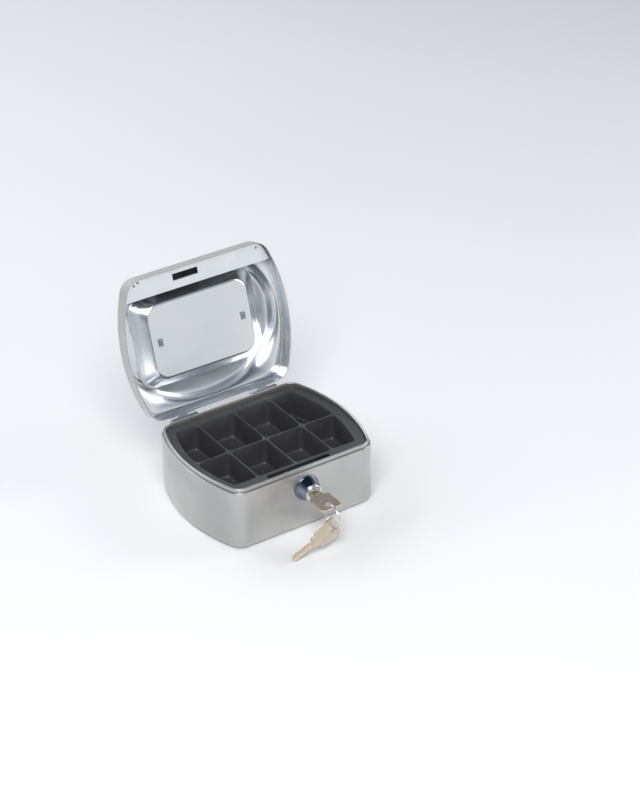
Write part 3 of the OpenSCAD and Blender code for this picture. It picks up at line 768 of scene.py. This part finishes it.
def lid_outline(kind, inset):
    if kind == "wall":
        return plan(inset)
    if kind == "oval":
        return whole(quarter_oval(OVAL_A - inset, OVAL_B - inset))
    if kind == "pan":
        return whole(quarter_rect(PAN_A - inset, PAN_B - inset, PAN_R - inset))
    return whole(quarter_rect(FLOOR_A - inset, FLOOR_B - inset, FLOOR_CORNER - inset))


def level_row(kind, inset, height, inward, down):
    """A row that follows one outline."""
    return (kind, inset, kind, 0, 0, height, inward, down)


def lid_rows():
    """Rows of (outline, inset, next outline, inset, share, height, inward share, downward share)."""
    crease_z = SHOULDER_Z + SKIRT_H
    crease_end = math.radians(75)
    cove_end = math.radians(72)
    cove_inset = CREASE_R * (1 - math.cos(crease_end))
    cove_z = crease_z - CREASE_R * (1 - math.sin(crease_end))
    rise = RIDGE_Z - OVAL_R - cove_z
    pan_top = RIDGE_Z - PAN_LIP_DROP
    rows = [level_row("wall", 0, SHOULDER_Z + LID_GAP, 1, 0)]
    for k in range(8):
        a = crease_end * k / 8
        inset, height = CREASE_R * (1 - math.cos(a)), crease_z - CREASE_R * (1 - math.sin(a))
        rows.append(level_row("wall", inset, height, math.cos(a), math.sin(a)))
    for k in range(17):
        a = cove_end * k / 16
        share = math.sin(a) / math.sin(cove_end)
        height = cove_z + rise * (1 - math.cos(a)) / (1 - math.cos(cove_end))
        rows.append(("wall", cove_inset, "oval", 0, share, height, math.sin(a), math.cos(a)))
    for degrees in (24, 36, 48, 60, 72, 90):
        a = math.radians(degrees)
        inset, height = OVAL_R * (1 - math.cos(a)), RIDGE_Z - OVAL_R * (1 - math.sin(a))
        rows.append(level_row("oval", inset, height, math.cos(a), math.sin(a)))
    for k in range(1, 6):
        share = k / 6
        rows.append(("oval", OVAL_R, "pan", -PAN_EDGE_R, share, RIDGE_Z - PAN_LIP_DROP * share**2, 0, 1))
    for degrees in (0, 15, 30, 45, 60):
        a = math.radians(degrees)
        inset, height = -PAN_EDGE_R * (1 - math.sin(a)), pan_top - PAN_EDGE_R * (1 - math.cos(a))
        rows.append(level_row("pan", inset, height, -math.sin(a), math.cos(a)))
    wall_top = pan_top - PAN_EDGE_R * 0.55
    wall_low = PAN_Z + FLOOR_R
    for k in range(1, 6):
        share = 0.05 + 0.8 * k / 5
        rows.append(("pan", 0, "floor", 0, share, wall_top + (wall_low - wall_top) * k / 5, -0.8, 0.6))
    rows.append(("pan", 0, "floor", 0, 0.93, PAN_Z + FLOOR_R * 0.5, -0.7, 0.7))
    rows.append(level_row("floor", 0.1 * MM, PAN_Z + FLOOR_R * 0.17, -0.4, 0.9))
    rows.append(level_row("floor", FLOOR_R, PAN_Z, 0, 1))
    return rows


def lid_ring(row, depth):
    kind, inset, next_kind, next_inset, share, height, inward, down = row
    points = lid_outline(kind, inset + depth * inward)
    if share:
        points = mix(points, lid_outline(next_kind, next_inset + depth * inward), share)
    return points, height - depth * down


def build_lid():
    rows = lid_rows()
    bm = bmesh.new()
    under = [add_ring(bm, *lid_ring(row, SHEET)) for row in reversed(rows)]
    over = [add_ring(bm, *lid_ring(row, 0)) for row in rows]
    cap(bm, under[0], 1)
    cap(bm, over[-1], 0)
    rings = under + over
    for k in range(len(rings) - 1):
        bridge(bm, rings[k], rings[k + 1], 1 if k < len(under) - 1 else 0)
    lid = finish_mesh("lid_skin", bm)
    # Lining faces in the channel behind the strip take the painted shade sheet
    for face in lid.data.polygons:
        x, y, z = face.center
        in_painted_shade = CHANNEL_LEFT < x < CHANNEL_RIGHT and y < CHANNEL_REAR
        if face.material_index == 1 and in_painted_shade and z > STRIP_Z + 1.5 * MM:
            face.material_index = 2
    paint(lid, SILVER, LID_LINING, PAINTED_SHADE)
    half = Vector(STRAP_SLOT_HALF)
    middles = [Vector((side * BRACKET_X, 0, PAN_Z)) for side in (-1, 1)]
    cut(lid, *[box_mesh("strap_slot", middle - half, middle + half) for middle in middles])
    place(lid, ON_LID)
    dress(lid, "lid", "silver_lacquer")
    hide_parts("lid_shell")


def build_strip():
    """Strip across the front of the lid: a slotted plate with its front edge turned up."""
    rear = CAM_Y + 10.5 * MM
    edge = rounded(clip(plan(SHEET + 0.3 * MM), 1, rear, False), 0.6 * MM, 3)
    left, right = -22.0 * MM, 1.5 * MM
    low, high = CAM_Y - 1.8 * MM, CAM_Y + 3.8 * MM
    slot = rounded([(left, low), (right, low), (right, high), (left, high)], 0.4 * MM, 4)
    strip = plate("strip_plate", [edge, slot], SHEET, 0.12 * MM)
    place(strip, Matrix.Translation((0, 0, STRIP_Z + SHEET / 2)))
    lip_low, lip_high = STRIP_Z + 0.2 * MM, STRIP_Z + 6 * MM
    lip = [(-FILLET_X, lip_low), (FILLET_X, lip_low), (FILLET_X, lip_high), (-FILLET_X, lip_high)]
    flange = plate("strip_lip", [rounded(lip, 1.5 * MM)], SHEET, 0.12 * MM)
    upright = Matrix.Rotation(math.pi / 2, 4, "X")
    place(flange, Matrix.Translation((0, WALL_FRONT + SHEET * 1.5, 0)) @ upright)
    strip = join("lock_strip_plate", [strip, flange])
    place(strip, ON_LID)
    dress(strip, "lid", "plated_steel", STRIP_FINISH)
    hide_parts("lock_strip")


def build_weld_marks():
    """Shallow spot-weld dimples near the strip's front corners."""
    marks = []
    dimple_mm = ((0.1, 0.01), (0.5, 0.02), (0.7, 0.12), (0.9, 0.08), (1, -0.02), (0.1, -0.02))
    profile = [(radius * MM, height * MM) for radius, height in dimple_mm]
    for x, y in ((-57.2, -54.4), (-53.4, -56), (57.5, -54.2)):
        mark = lathe("weld_mark", profile, 32)
        place(mark, Matrix.Translation((x * MM, y * MM, STRIP_Z)) @ Matrix.Rotation(-math.pi / 2, 4, "X"))
        marks.append(mark)
    marks = join("strip_weld_marks", marks)
    place(marks, ON_LID)
    dress(marks, "lid", "plated_steel", SCORCHED)


# ------------------------------------------------------------------ tray

TRAY_T = 1.2 * MM
FLANGE_T = 1.6 * MM
TRAY_H = 24 * MM
CELL_PITCH = 34.7 * MM
NOTCH_LEFT, NOTCH_RIGHT = -30.0 * MM, 28.0 * MM
NOTCH_BACK = -47.2 * MM


def tray_flange(inset):
    """The flange's outline with its front notch, rounded where the notch turns."""
    points = plan(inset)
    front_y = -HALF_D + inset

    def on_front(point):
        return abs(point[1] - front_y) < 1e-6

    start = next(k for k, p in enumerate(points) if p[1] < 0 and p[0] > NOTCH_LEFT and on_front(p))
    turned = points[start:] + points[:start]
    kept = [p for p in turned if not (on_front(p) and NOTCH_LEFT < p[0] < NOTCH_RIGHT)]
    last_left = max(k for k, p in enumerate(kept) if on_front(p) and p[0] <= NOTCH_LEFT)
    notch = [(NOTCH_LEFT, front_y), (NOTCH_LEFT, NOTCH_BACK)]
    notch += [(NOTCH_RIGHT, NOTCH_BACK), (NOTCH_RIGHT, front_y)]
    return rounded(kept[:last_left + 1] + notch + kept[last_left + 1:], 1.6 * MM, 5, 0.6)


def build_tray():
    low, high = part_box("coin_tray")
    top, bottom = high.z, low.z
    flange_inset = HALF_W - high.x
    body_inset = flange_inset + 6 * MM
    body_front, body_rear = low.y + 9.85 * MM, high.y - 4.9 * MM

    def body(inset, radius):
        points = clip(plan(body_inset + inset), 1, body_front + inset, True)
        return rounded(clip(points, 1, body_rear - inset, False), radius, 10)

    bm = bmesh.new()
    # Flange: rounded edge, flat top and flat underside
    edge = tray_flange(flange_inset)
    r = 0.45 * MM
    levels = [(r, top), (r * 0.3, top - r * 0.3), (0, top - r), (0, top - FLANGE_T + r),
              (r * 0.3, top - FLANGE_T + r * 0.3), (r, top - FLANGE_T)]
    edges = [add_ring(bm, offset(edge, inset), z) for inset, z in levels]
    for a, b in zip(edges, edges[1:]):
        bridge(bm, a, b)
    # Step down from the flange to the tops of the walls between the compartments
    mouth_outline = body(TRAY_T, 4 * MM)
    steps = [(-0.35, 0), (-0.1, 0.1), (0, 0.35), (0, 0.85), (0.15, 1.0)]
    mouths = [add_ring(bm, offset(mouth_outline, d * MM), top - z * MM) for d, z in steps]
    fill_between(bm, [edges[0], mouths[0]])
    for a, b in zip(mouths, mouths[1:]):
        bridge(bm, a, b)
    # Compartments
    wall_y = (body_front + body_rear) / 2 - 2.5 * MM
    half_t = TRAY_T / 2
    columns = [(-HALF_W, -CELL_PITCH - half_t), (-CELL_PITCH + half_t, -half_t)]
    columns += [(half_t, CELL_PITCH - half_t), (CELL_PITCH + half_t, HALF_W)]
    rows = [(-HALF_D, wall_y - half_t), (wall_y + half_t, HALF_D)]
    mouths_of_cells = []
    for left, right in columns:
        for front, rear in rows:
            points = body(TRAY_T + 0.55 * MM, 4 * MM)
            points = clip(clip(points, 0, left, True), 0, right, False)
            points = clip(clip(points, 1, front, True), 1, rear, False)
            points = rounded(points, 4 * MM, 8)
            depth = TRAY_H - TRAY_T
            fillet = 2.4 * MM
            draft = 0.45 * MM
            levels = [(-0.3, 1.0), (-0.08, 1.08), (0, 1.3)]
            levels = [(d * MM, top - z * MM) for d, z in levels]
            levels += [(draft, top - depth + fillet)]
            levels += [
                (draft + fillet * (1 - math.cos(a)), top - depth + fillet * (1 - math.sin(a)))
                for a in (math.radians(15 * k) for k in range(1, 7))
            ]
            rings = [add_ring(bm, offset(points, inset), z) for inset, z in levels]
            for a, b in zip(rings, rings[1:]):
                bridge(bm, a, b)
            cap(bm, rings[-1])
            mouths_of_cells.append(rings[0])
    fill_between(bm, [mouths[-1]] + mouths_of_cells)
    # Outside of the body
    outside = body(0, 5 * MM)
    foot = 2.5 * MM
    levels = [(0, top - FLANGE_T), (0.5 * MM, bottom + foot)]
    levels += [
        (0.5 * MM + foot * (1 - math.cos(a)), bottom + foot * (1 - math.sin(a)))
        for a in (math.radians(15 * k) for k in range(1, 7))
    ]
    rings = [add_ring(bm, offset(outside, inset), z) for inset, z in levels]
    fill_between(bm, [edges[-1], rings[0]])
    for a, b in zip(rings, rings[1:]):
        bridge(bm, a, b)
    cap(bm, rings[-1])
    tray = finish_mesh("tray_moulding", bm, 40)
    dress(tray, "tray", "tray_plastic", PLASTIC)
    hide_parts("coin_tray")


# ------------------------------------------------------------------ lock


def build_collar():
    low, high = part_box("lock_collar")
    outer = (high.x - low.x) / 2
    bore = BARREL_HOLE_R
    front, back = low.y, high.y
    profile = [(bore, back), (outer - 0.3 * MM, back), (outer, back - 0.25 * MM), (outer, back - 0.9 * MM)]
    profile += arc((outer - 0.5 * MM, back - 0.9 * MM), 0.5 * MM, 0, -55, 5)[1:]
    profile += [(7.95 * MM, front + 0.75 * MM)]
    profile += arc((7.25 * MM, front + 0.5 * MM), 0.5 * MM, -10, -90, 6)
    profile += [(bore, front)]
    collar = lathe("collar_cone", profile, 128)
    place(collar, Matrix.Translation((0, 0, LOCK_Z)))
    dress(collar, "base", "chrome", CHROME_PAINTED_REFLECTION)
    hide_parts("lock_collar")


def build_barrel():
    low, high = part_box("lock_barrel")
    front, back = low.y, high.y
    head_r, head_t = (high.x - low.x) / 2, 2.2 * MM
    body_r, bore = 6.5 * MM, 5.25 * MM
    profile = [(bore, back), (body_r - 0.3 * MM, back), (body_r, back - 0.3 * MM), (body_r, front + head_t)]
    profile += [(head_r - 0.2 * MM, front + head_t), (head_r, front + head_t - 0.2 * MM)]
    profile += arc((head_r - 0.7 * MM, front + 0.7 * MM), 0.7 * MM, 0, -90, 8)
    profile += arc((bore + 0.4 * MM, front + 0.4 * MM), 0.4 * MM, -90, -180, 5)
    barrel = lathe("barrel_body", profile, 128)
    place(barrel, Matrix.Translation((0, 0, LOCK_Z)))
    dress(barrel, "base", "chrome", CHROME)
    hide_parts("lock_barrel")


def build_plug_face():
    """Thin face disc of the plug with the broached keyway's wards as shallow recesses whose floors and
    sides carry painted shade, standing in for the deep keyway.
    """
    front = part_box("lock_plug")[0].y
    thick, radius = 0.22 * MM, 5.05 * MM
    face = lathe("plug_disc", [
        (0.02 * MM, 0), (radius, 0), (radius, -thick + 0.12 * MM), (radius - 0.12 * MM, -thick),
        (4.1 * MM, -thick), (4.0 * MM, -thick + 0.08 * MM), (3.8 * MM, -thick + 0.08 * MM),
        (3.7 * MM, -thick), (0.02 * MM, -thick),
    ], 96)
    paint(face, PLUG_METAL, PAINTED_SHADE)
    wards = []
    floor_y = -0.05 * MM
    for left, right, low, high in ((-3.4, 3.4, -1.1, 1.15), (-1.1, -0.2, 0.8, 2.6), (0.7, 2.1, 0.8, 1.9),
                                   (-2.6, -1.8, -2, -0.8), (0.2, 1, -2.7, -0.8)):
        ward = box_mesh("ward", (left * MM, -1 * MM, low * MM), (right * MM, floor_y, high * MM))
        paint(ward, PLUG_METAL, PAINTED_SHADE)
        # Painted shade on the ward recesses' faces, in place of the keyway's depth
        for side in ward.data.polygons:
            side.material_index = 1
        wards.append(ward)
    cut(face, *wards)
    place(face, Matrix.Translation((0, front, LOCK_Z)))
    dress(face, "lock", "nickel")


# ------------------------------------------------------------------ keys

KEY_T = 2 * MM
BLADE_T = 1.6 * MM
BLADE_W = 6.2 * MM
BOW_W, BOW_LEN = 18.5 * MM, 20 * MM
NECK_LEN, BLADE_LEN = 5 * MM, 20 * MM
BOW_HOLE_EDGE, BOW_HOLE_R = 5.8 * MM, 2.8 * MM
TIP_LEN = 2.4 * MM
GROOVE_Y, GROOVE_W, GROOVE_DEPTH = 1 * MM, 1.2 * MM, 0.4 * MM
SPARE_REST_GAP = 0.4 * MM
SPARE_SLIP = 1.4 * MM
NOTCHES = ((4.5, 0.9), (7.5, 0.5), (10.5, 1.1), (14, 0.7), (17, 0.9))


def circle(radius, steps=48):
    turns = [2 * math.pi * k / steps for k in range(steps)]
    return [(radius * math.cos(t), radius * math.sin(t)) for t in turns]


def blade_edge():
    """Outline of the blade: notches of (place, depth) in mm along one edge, and a pointed tip."""
    top, flat = BLADE_W / 2, 0.3 * MM
    tip_x = BLADE_LEN - TIP_LEN
    slope = (top - BLADE_W / 6) / TIP_LEN
    edge = [(-1 * MM, -top), (tip_x, -top), (BLADE_LEN, -BLADE_W / 6), (BLADE_LEN, BLADE_W / 6)]
    for place_mm, depth_mm in reversed(NOTCHES):
        x, depth = place_mm * MM, depth_mm * MM
        end = x + flat + depth
        if end > tip_x:
            end = (end + slope * tip_x) / (1 + slope)
            edge.append((end, top - (end - tip_x) * slope))
        else:
            edge.append((end, top))
        edge += [(x + flat, top - depth), (x - flat, top - depth), (x - flat - depth, top)]
    return edge + [(-1 * MM, top)]


def build_key(name):
    """Flat key along +X, the hole of its bow at the origin."""
    start = -BOW_HOLE_EDGE
    neck = start + BOW_LEN
    blade = neck + NECK_LEN
    half, neck_half = BOW_W / 2, 5.5 * MM
    bow = [(start, -half), (neck, -half), (neck, -neck_half), (blade, -neck_half),
           (blade, neck_half), (neck, neck_half), (neck, half), (start, half)]
    bow = rounded(bow, 2.6 * MM, 8)
    bow_plate = plate(name + "_bow", [bow, circle(BOW_HOLE_R)], KEY_T, 0.3 * MM)
    blade_plate = plate(name + "_blade", [blade_edge()], BLADE_T, 0.12 * MM)
    grooves = []
    for side in (-1, 1):
        z = side * BLADE_T / 2
        grooves.append(box_mesh(
            "groove",
            (0.2 * MM, side * GROOVE_Y - GROOVE_W / 2, z - GROOVE_DEPTH),
            (BLADE_LEN + 1 * MM, side * GROOVE_Y + GROOVE_W / 2, z + GROOVE_DEPTH),
        ))
    cut(blade_plate, *grooves)
    place(blade_plate, Matrix.Translation((blade, 0, 0)))
    return join(name, [bow_plate, blade_plate])


def build_keys():
    key = build_key("inserted_key")
    place(key, Matrix.Translation(KEY_HOLE) @ Matrix.Rotation(math.pi / 2, 4, "Z"))
    dress(key, "key", "key_nickel", KEY_METAL)
    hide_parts("key_in_lock")

    reach = BOW_LEN - BOW_HOLE_EDGE + NECK_LEN + BLADE_LEN + SPARE_SLIP
    lean = math.asin((SPARE_PIVOT.z - BLADE_W / 2 - SPARE_REST_GAP) / reach)
    spare = build_key("hanging_key")
    turn = Matrix.Rotation(-lean, 4, "Y") @ Matrix.Translation((-SPARE_SLIP, 0, 0))
    turn = turn @ Matrix.Rotation(math.pi, 4, "Z") @ Matrix.Rotation(math.pi / 2, 4, "X")
    place(spare, Matrix.Translation(SPARE_PIVOT) @ turn)
    dress(spare, "spare", "key_nickel", KEY_METAL)
    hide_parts("spare_key")


def build_ring():
    """Split ring: two turns of wire side by side, with a step where they cross over."""
    low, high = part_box("key_ring")
    centre = (low + high) / 2
    wire_r = 0.45 * MM
    mean_r = (high.y - low.y) / 2 - wire_r - 0.02 * MM
    shift = (high.x - low.x) / 2 - wire_r
    steps, turns = 180, 2
    path = []
    for k in range(steps * turns - 6):
        t = k / steps
        angle = 2 * math.pi * t + 0.6
        across = min(1.0, max(0.0, (t - 0.93) / 0.14))
        blend = across * across * (3 - 2 * across)
        x = -shift + 2 * shift * blend
        path.append(centre + Vector((x, mean_r * math.cos(angle), mean_r * math.sin(angle))))
    ring = tube("split_ring", path, wire_r, sides=14)
    dress(ring, "ring", "ring_steel", RING_METAL)
    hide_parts("key_ring")


# ------------------------------------------------------------------ handle


def build_bail():
    """U of round wire with its feet turned in, hanging from the brackets."""
    bend, foot_bend = 6 * MM, 2.6 * MM
    foot_end = BRACKET_X - STRAP_W / 2 - 0.8 * MM
    side = [(foot_end, 0.0), (BAIL_X - foot_bend, 0.0)]
    side += arc((BAIL_X - foot_bend, -foot_bend), foot_bend, 90, 0, 8)[1:]
    side += [(BAIL_X, -BAIL_LEG + bend)]
    side += arc((BAIL_X - bend, -BAIL_LEG + bend), bend, 0, -90, 12)[1:]
    path = side + [(-x, z) for x, z in reversed(side)]
    path = [BAIL_PIVOT + Vector((x, 0, z)) for x, z in path]
    bail = tube("bail_wire", path, WIRE_R, sides=28)
    dress(bail, "handle", "chrome", CHROME)
    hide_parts("handle_bail")


def build_bracket(side, name, node):
    """Strap looped round the bail's foot; its two ends are bent apart under the pan floor."""
    t = 0.9 * MM
    barrel = WIRE_R + 0.05 * MM
    stem = PIVOT_H + SHEET
    tab = 3 * MM
    outer = barrel + t
    join_angle = math.degrees(math.asin(t / outer))
    loop = arc((0, 0), outer, -90 + join_angle, 270 - join_angle, 40)
    left = [(-t, -stem), (-tab, -stem), (-tab, -stem - t)]
    right = [(tab, -stem - t), (tab, -stem), (t, -stem)]
    outline = loop + left + right
    strap = plate(name, [outline, circle(barrel, 40)], STRAP_W, 0.15 * MM)
    slits = []
    for end in (-1, 1):
        for across in (-0.7 * MM, 0.7 * MM):
            near, far = sorted((end * 1.1 * MM, end * 3.4 * MM))
            low, high = -stem - 1.2 * MM, -stem + 0.2 * MM
            slits.append(box_mesh(
                "slit", (near, low, across - 0.27 * MM), (far, high, across + 0.27 * MM)
            ))
    paint(strap, CHROME, TAB_STEEL)
    for face in strap.data.polygons:
        if face.center.y < -stem + 0.05 * MM:
            face.material_index = 1
    cut(strap, *slits)
    turn = Matrix(((0, 0, 1, 0), (1, 0, 0, 0), (0, 1, 0, 0), (0, 0, 0, 1)))
    place(strap, ON_LID @ Matrix.Translation((side * BRACKET_X, 0, PAN_Z + PIVOT_H)) @ turn)
    dress(strap, "lid", "chrome")
    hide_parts(node)


# ------------------------------------------------------------------ CAD pieces that stay

CAD_FINISHES = {
    "tray_ledge_left": PLATED,
    "tray_ledge_right": PLATED,
    "lock_nut": ZINC,
    "lock_plug": PLUG_METAL,
    "lock_wafers": BRASS,
    "lock_cam": ZINC,
    "cam_clip": ZINC,
}
for hinge_side in ("left", "right"):
    CAD_FINISHES["hinge_base_leaf_" + hinge_side] = PLATED
    CAD_FINISHES["hinge_lid_leaf_" + hinge_side] = PLATED
    CAD_FINISHES["hinge_pin_" + hinge_side] = ZINC


def dress_cad_nodes():
    """Finishes and softened edges for the CAD pieces that show as they are."""
    for node, material in CAD_FINISHES.items():
        obj = frame["nodes"][node]
        obj.data.materials.clear()
        paint(obj, material)
        bevel = obj.modifiers.new("soft_edges", "BEVEL")
        bevel.width = 0.15 * MM
        bevel.segments = 2
        bevel.limit_method = "ANGLE"
        bevel.angle_limit = math.radians(40)
        bevel.harden_normals = True


# ------------------------------------------------------------------ stage


def build_stage():
    bm = bmesh.new()
    half = 3.0
    corners = [(-half, -half), (half, -half), (half, half), (-half, half)]
    cap(bm, add_ring(bm, corners, 0))
    floor = finish_mesh("floor", bm)
    paint(floor, pale_floor())

    bpy.context.scene.view_settings.view_transform = "Standard"
    build_world()


def build_world():
    """Soft studio: bright above and behind the camera, darker and bluer towards the horizon."""
    world = bpy.data.worlds.new("studio")
    bpy.context.scene.world = world
    world.use_nodes = True
    nodes, links = world.node_tree.nodes, world.node_tree.links
    coords = nodes.new("ShaderNodeTexCoord")
    split = nodes.new("ShaderNodeSeparateXYZ")
    ramp = nodes.new("ShaderNodeValToRGB")
    shift = nodes.new("ShaderNodeMapRange")
    shift.inputs["From Min"].default_value = -1
    shift.inputs["From Max"].default_value = 1
    links.new(coords.outputs["Generated"], split.inputs["Vector"])
    links.new(split.outputs["Z"], shift.inputs["Value"])
    links.new(shift.outputs["Result"], ramp.inputs["Fac"])
    stops = [(0.0, (0.9, 0.9, 0.9)), (0.5, (0.95, 0.95, 0.94)), (0.56, (0.9, 0.905, 0.9)),
             (0.68, (0.55, 0.56, 0.57)), (0.84, (0.16, 0.19, 0.26)), (0.93, (0.03, 0.045, 0.08))]
    elements = ramp.color_ramp.elements
    while len(elements) < len(stops):
        elements.new(1.0)
    for element, (position, colour) in zip(elements, stops):
        element.position = position
        element.color = (*colour, 1)
    links.new(ramp.outputs["Color"], nodes["Background"].inputs["Color"])
    nodes["Background"].inputs["Strength"].default_value = 1.0


def build_dark_card():
    """Dark card beside the camera that only shows as a reflection in the bright metal."""
    bm = bmesh.new()
    height = 0.55
    left, right = Vector((-0.75, -0.2, 0)), Vector((-0.25, -0.75, 0))
    up = Vector((0, 0, height))
    bm.faces.new([bm.verts.new(corner) for corner in (left, right, right + up, left + up)])
    card = finish_mesh("dark_card", bm)
    paint(card, SCORCHED)
    for ray in ("camera", "diffuse", "shadow", "transmission", "volume_scatter"):
        setattr(card, "visible_" + ray, False)


def build_light(name, place_m, target_m, size_m, watts, colour=(1, 1, 1)):
    data = bpy.data.lights.new(name, "AREA")
    data.shape = "RECTANGLE"
    data.size, data.size_y = size_m
    data.energy = watts
    data.color = colour
    light = link_object(name, data)
    light.location = place_m
    light.rotation_euler = (Vector(target_m) - Vector(place_m)).to_track_quat("-Z", "Y").to_euler()


def build_camera():
    """Camera to the front left, above the box, looking a little past its right side."""
    azimuth, elevation, roll = math.radians(-33.27), math.radians(31.48), math.radians(-0.85)
    distance = 1.9643
    target = Vector((0.0646, 0.01849, 0.05542))
    back = Vector((
        math.sin(azimuth) * math.cos(elevation),
        -math.cos(azimuth) * math.cos(elevation),
        math.sin(elevation),
    ))
    right = Vector((0, 0, 1)).cross(back).normalized()
    up = back.cross(right)
    rolled_right = right * math.cos(roll) + up * math.sin(roll)
    rolled_up = up * math.cos(roll) - right * math.sin(roll)
    data = bpy.data.cameras.new("camera")
    data.lens = 108.1
    data.sensor_width = 36
    data.clip_start, data.clip_end = 0.05, 20
    camera = link_object("camera", data)
    turn = Matrix((rolled_right, rolled_up, back)).transposed().to_4x4()
    camera.matrix_world = Matrix.Translation(target + back * distance) @ turn
    bpy.context.scene.camera = camera


# ------------------------------------------------------------------ scene

build_camera()
build_stage()
build_dark_card()
build_light("key_light", (-0.6, -0.9, 1.3), (0, 0, 0.05), (1.0, 0.8), 20)
build_light("rear_light", (-0.35, 1.2, 1.1), (0, 0.05, 0.08), (1.6, 0.8), 11, (0.97, 0.98, 1.0))
build_light("side_light", (1.2, -0.5, 0.7), (0, 0, 0.05), (0.5, 0.9), 5)

build_base()
build_lid()
build_strip()
build_weld_marks()
build_tray()
build_collar()
build_barrel()
build_plug_face()
build_keys()
build_ring()
build_bail()
build_bracket(-1, "bracket_strap_left", "handle_bracket_left")
build_bracket(1, "bracket_strap_right", "handle_bracket_right")
dress_cad_nodes()
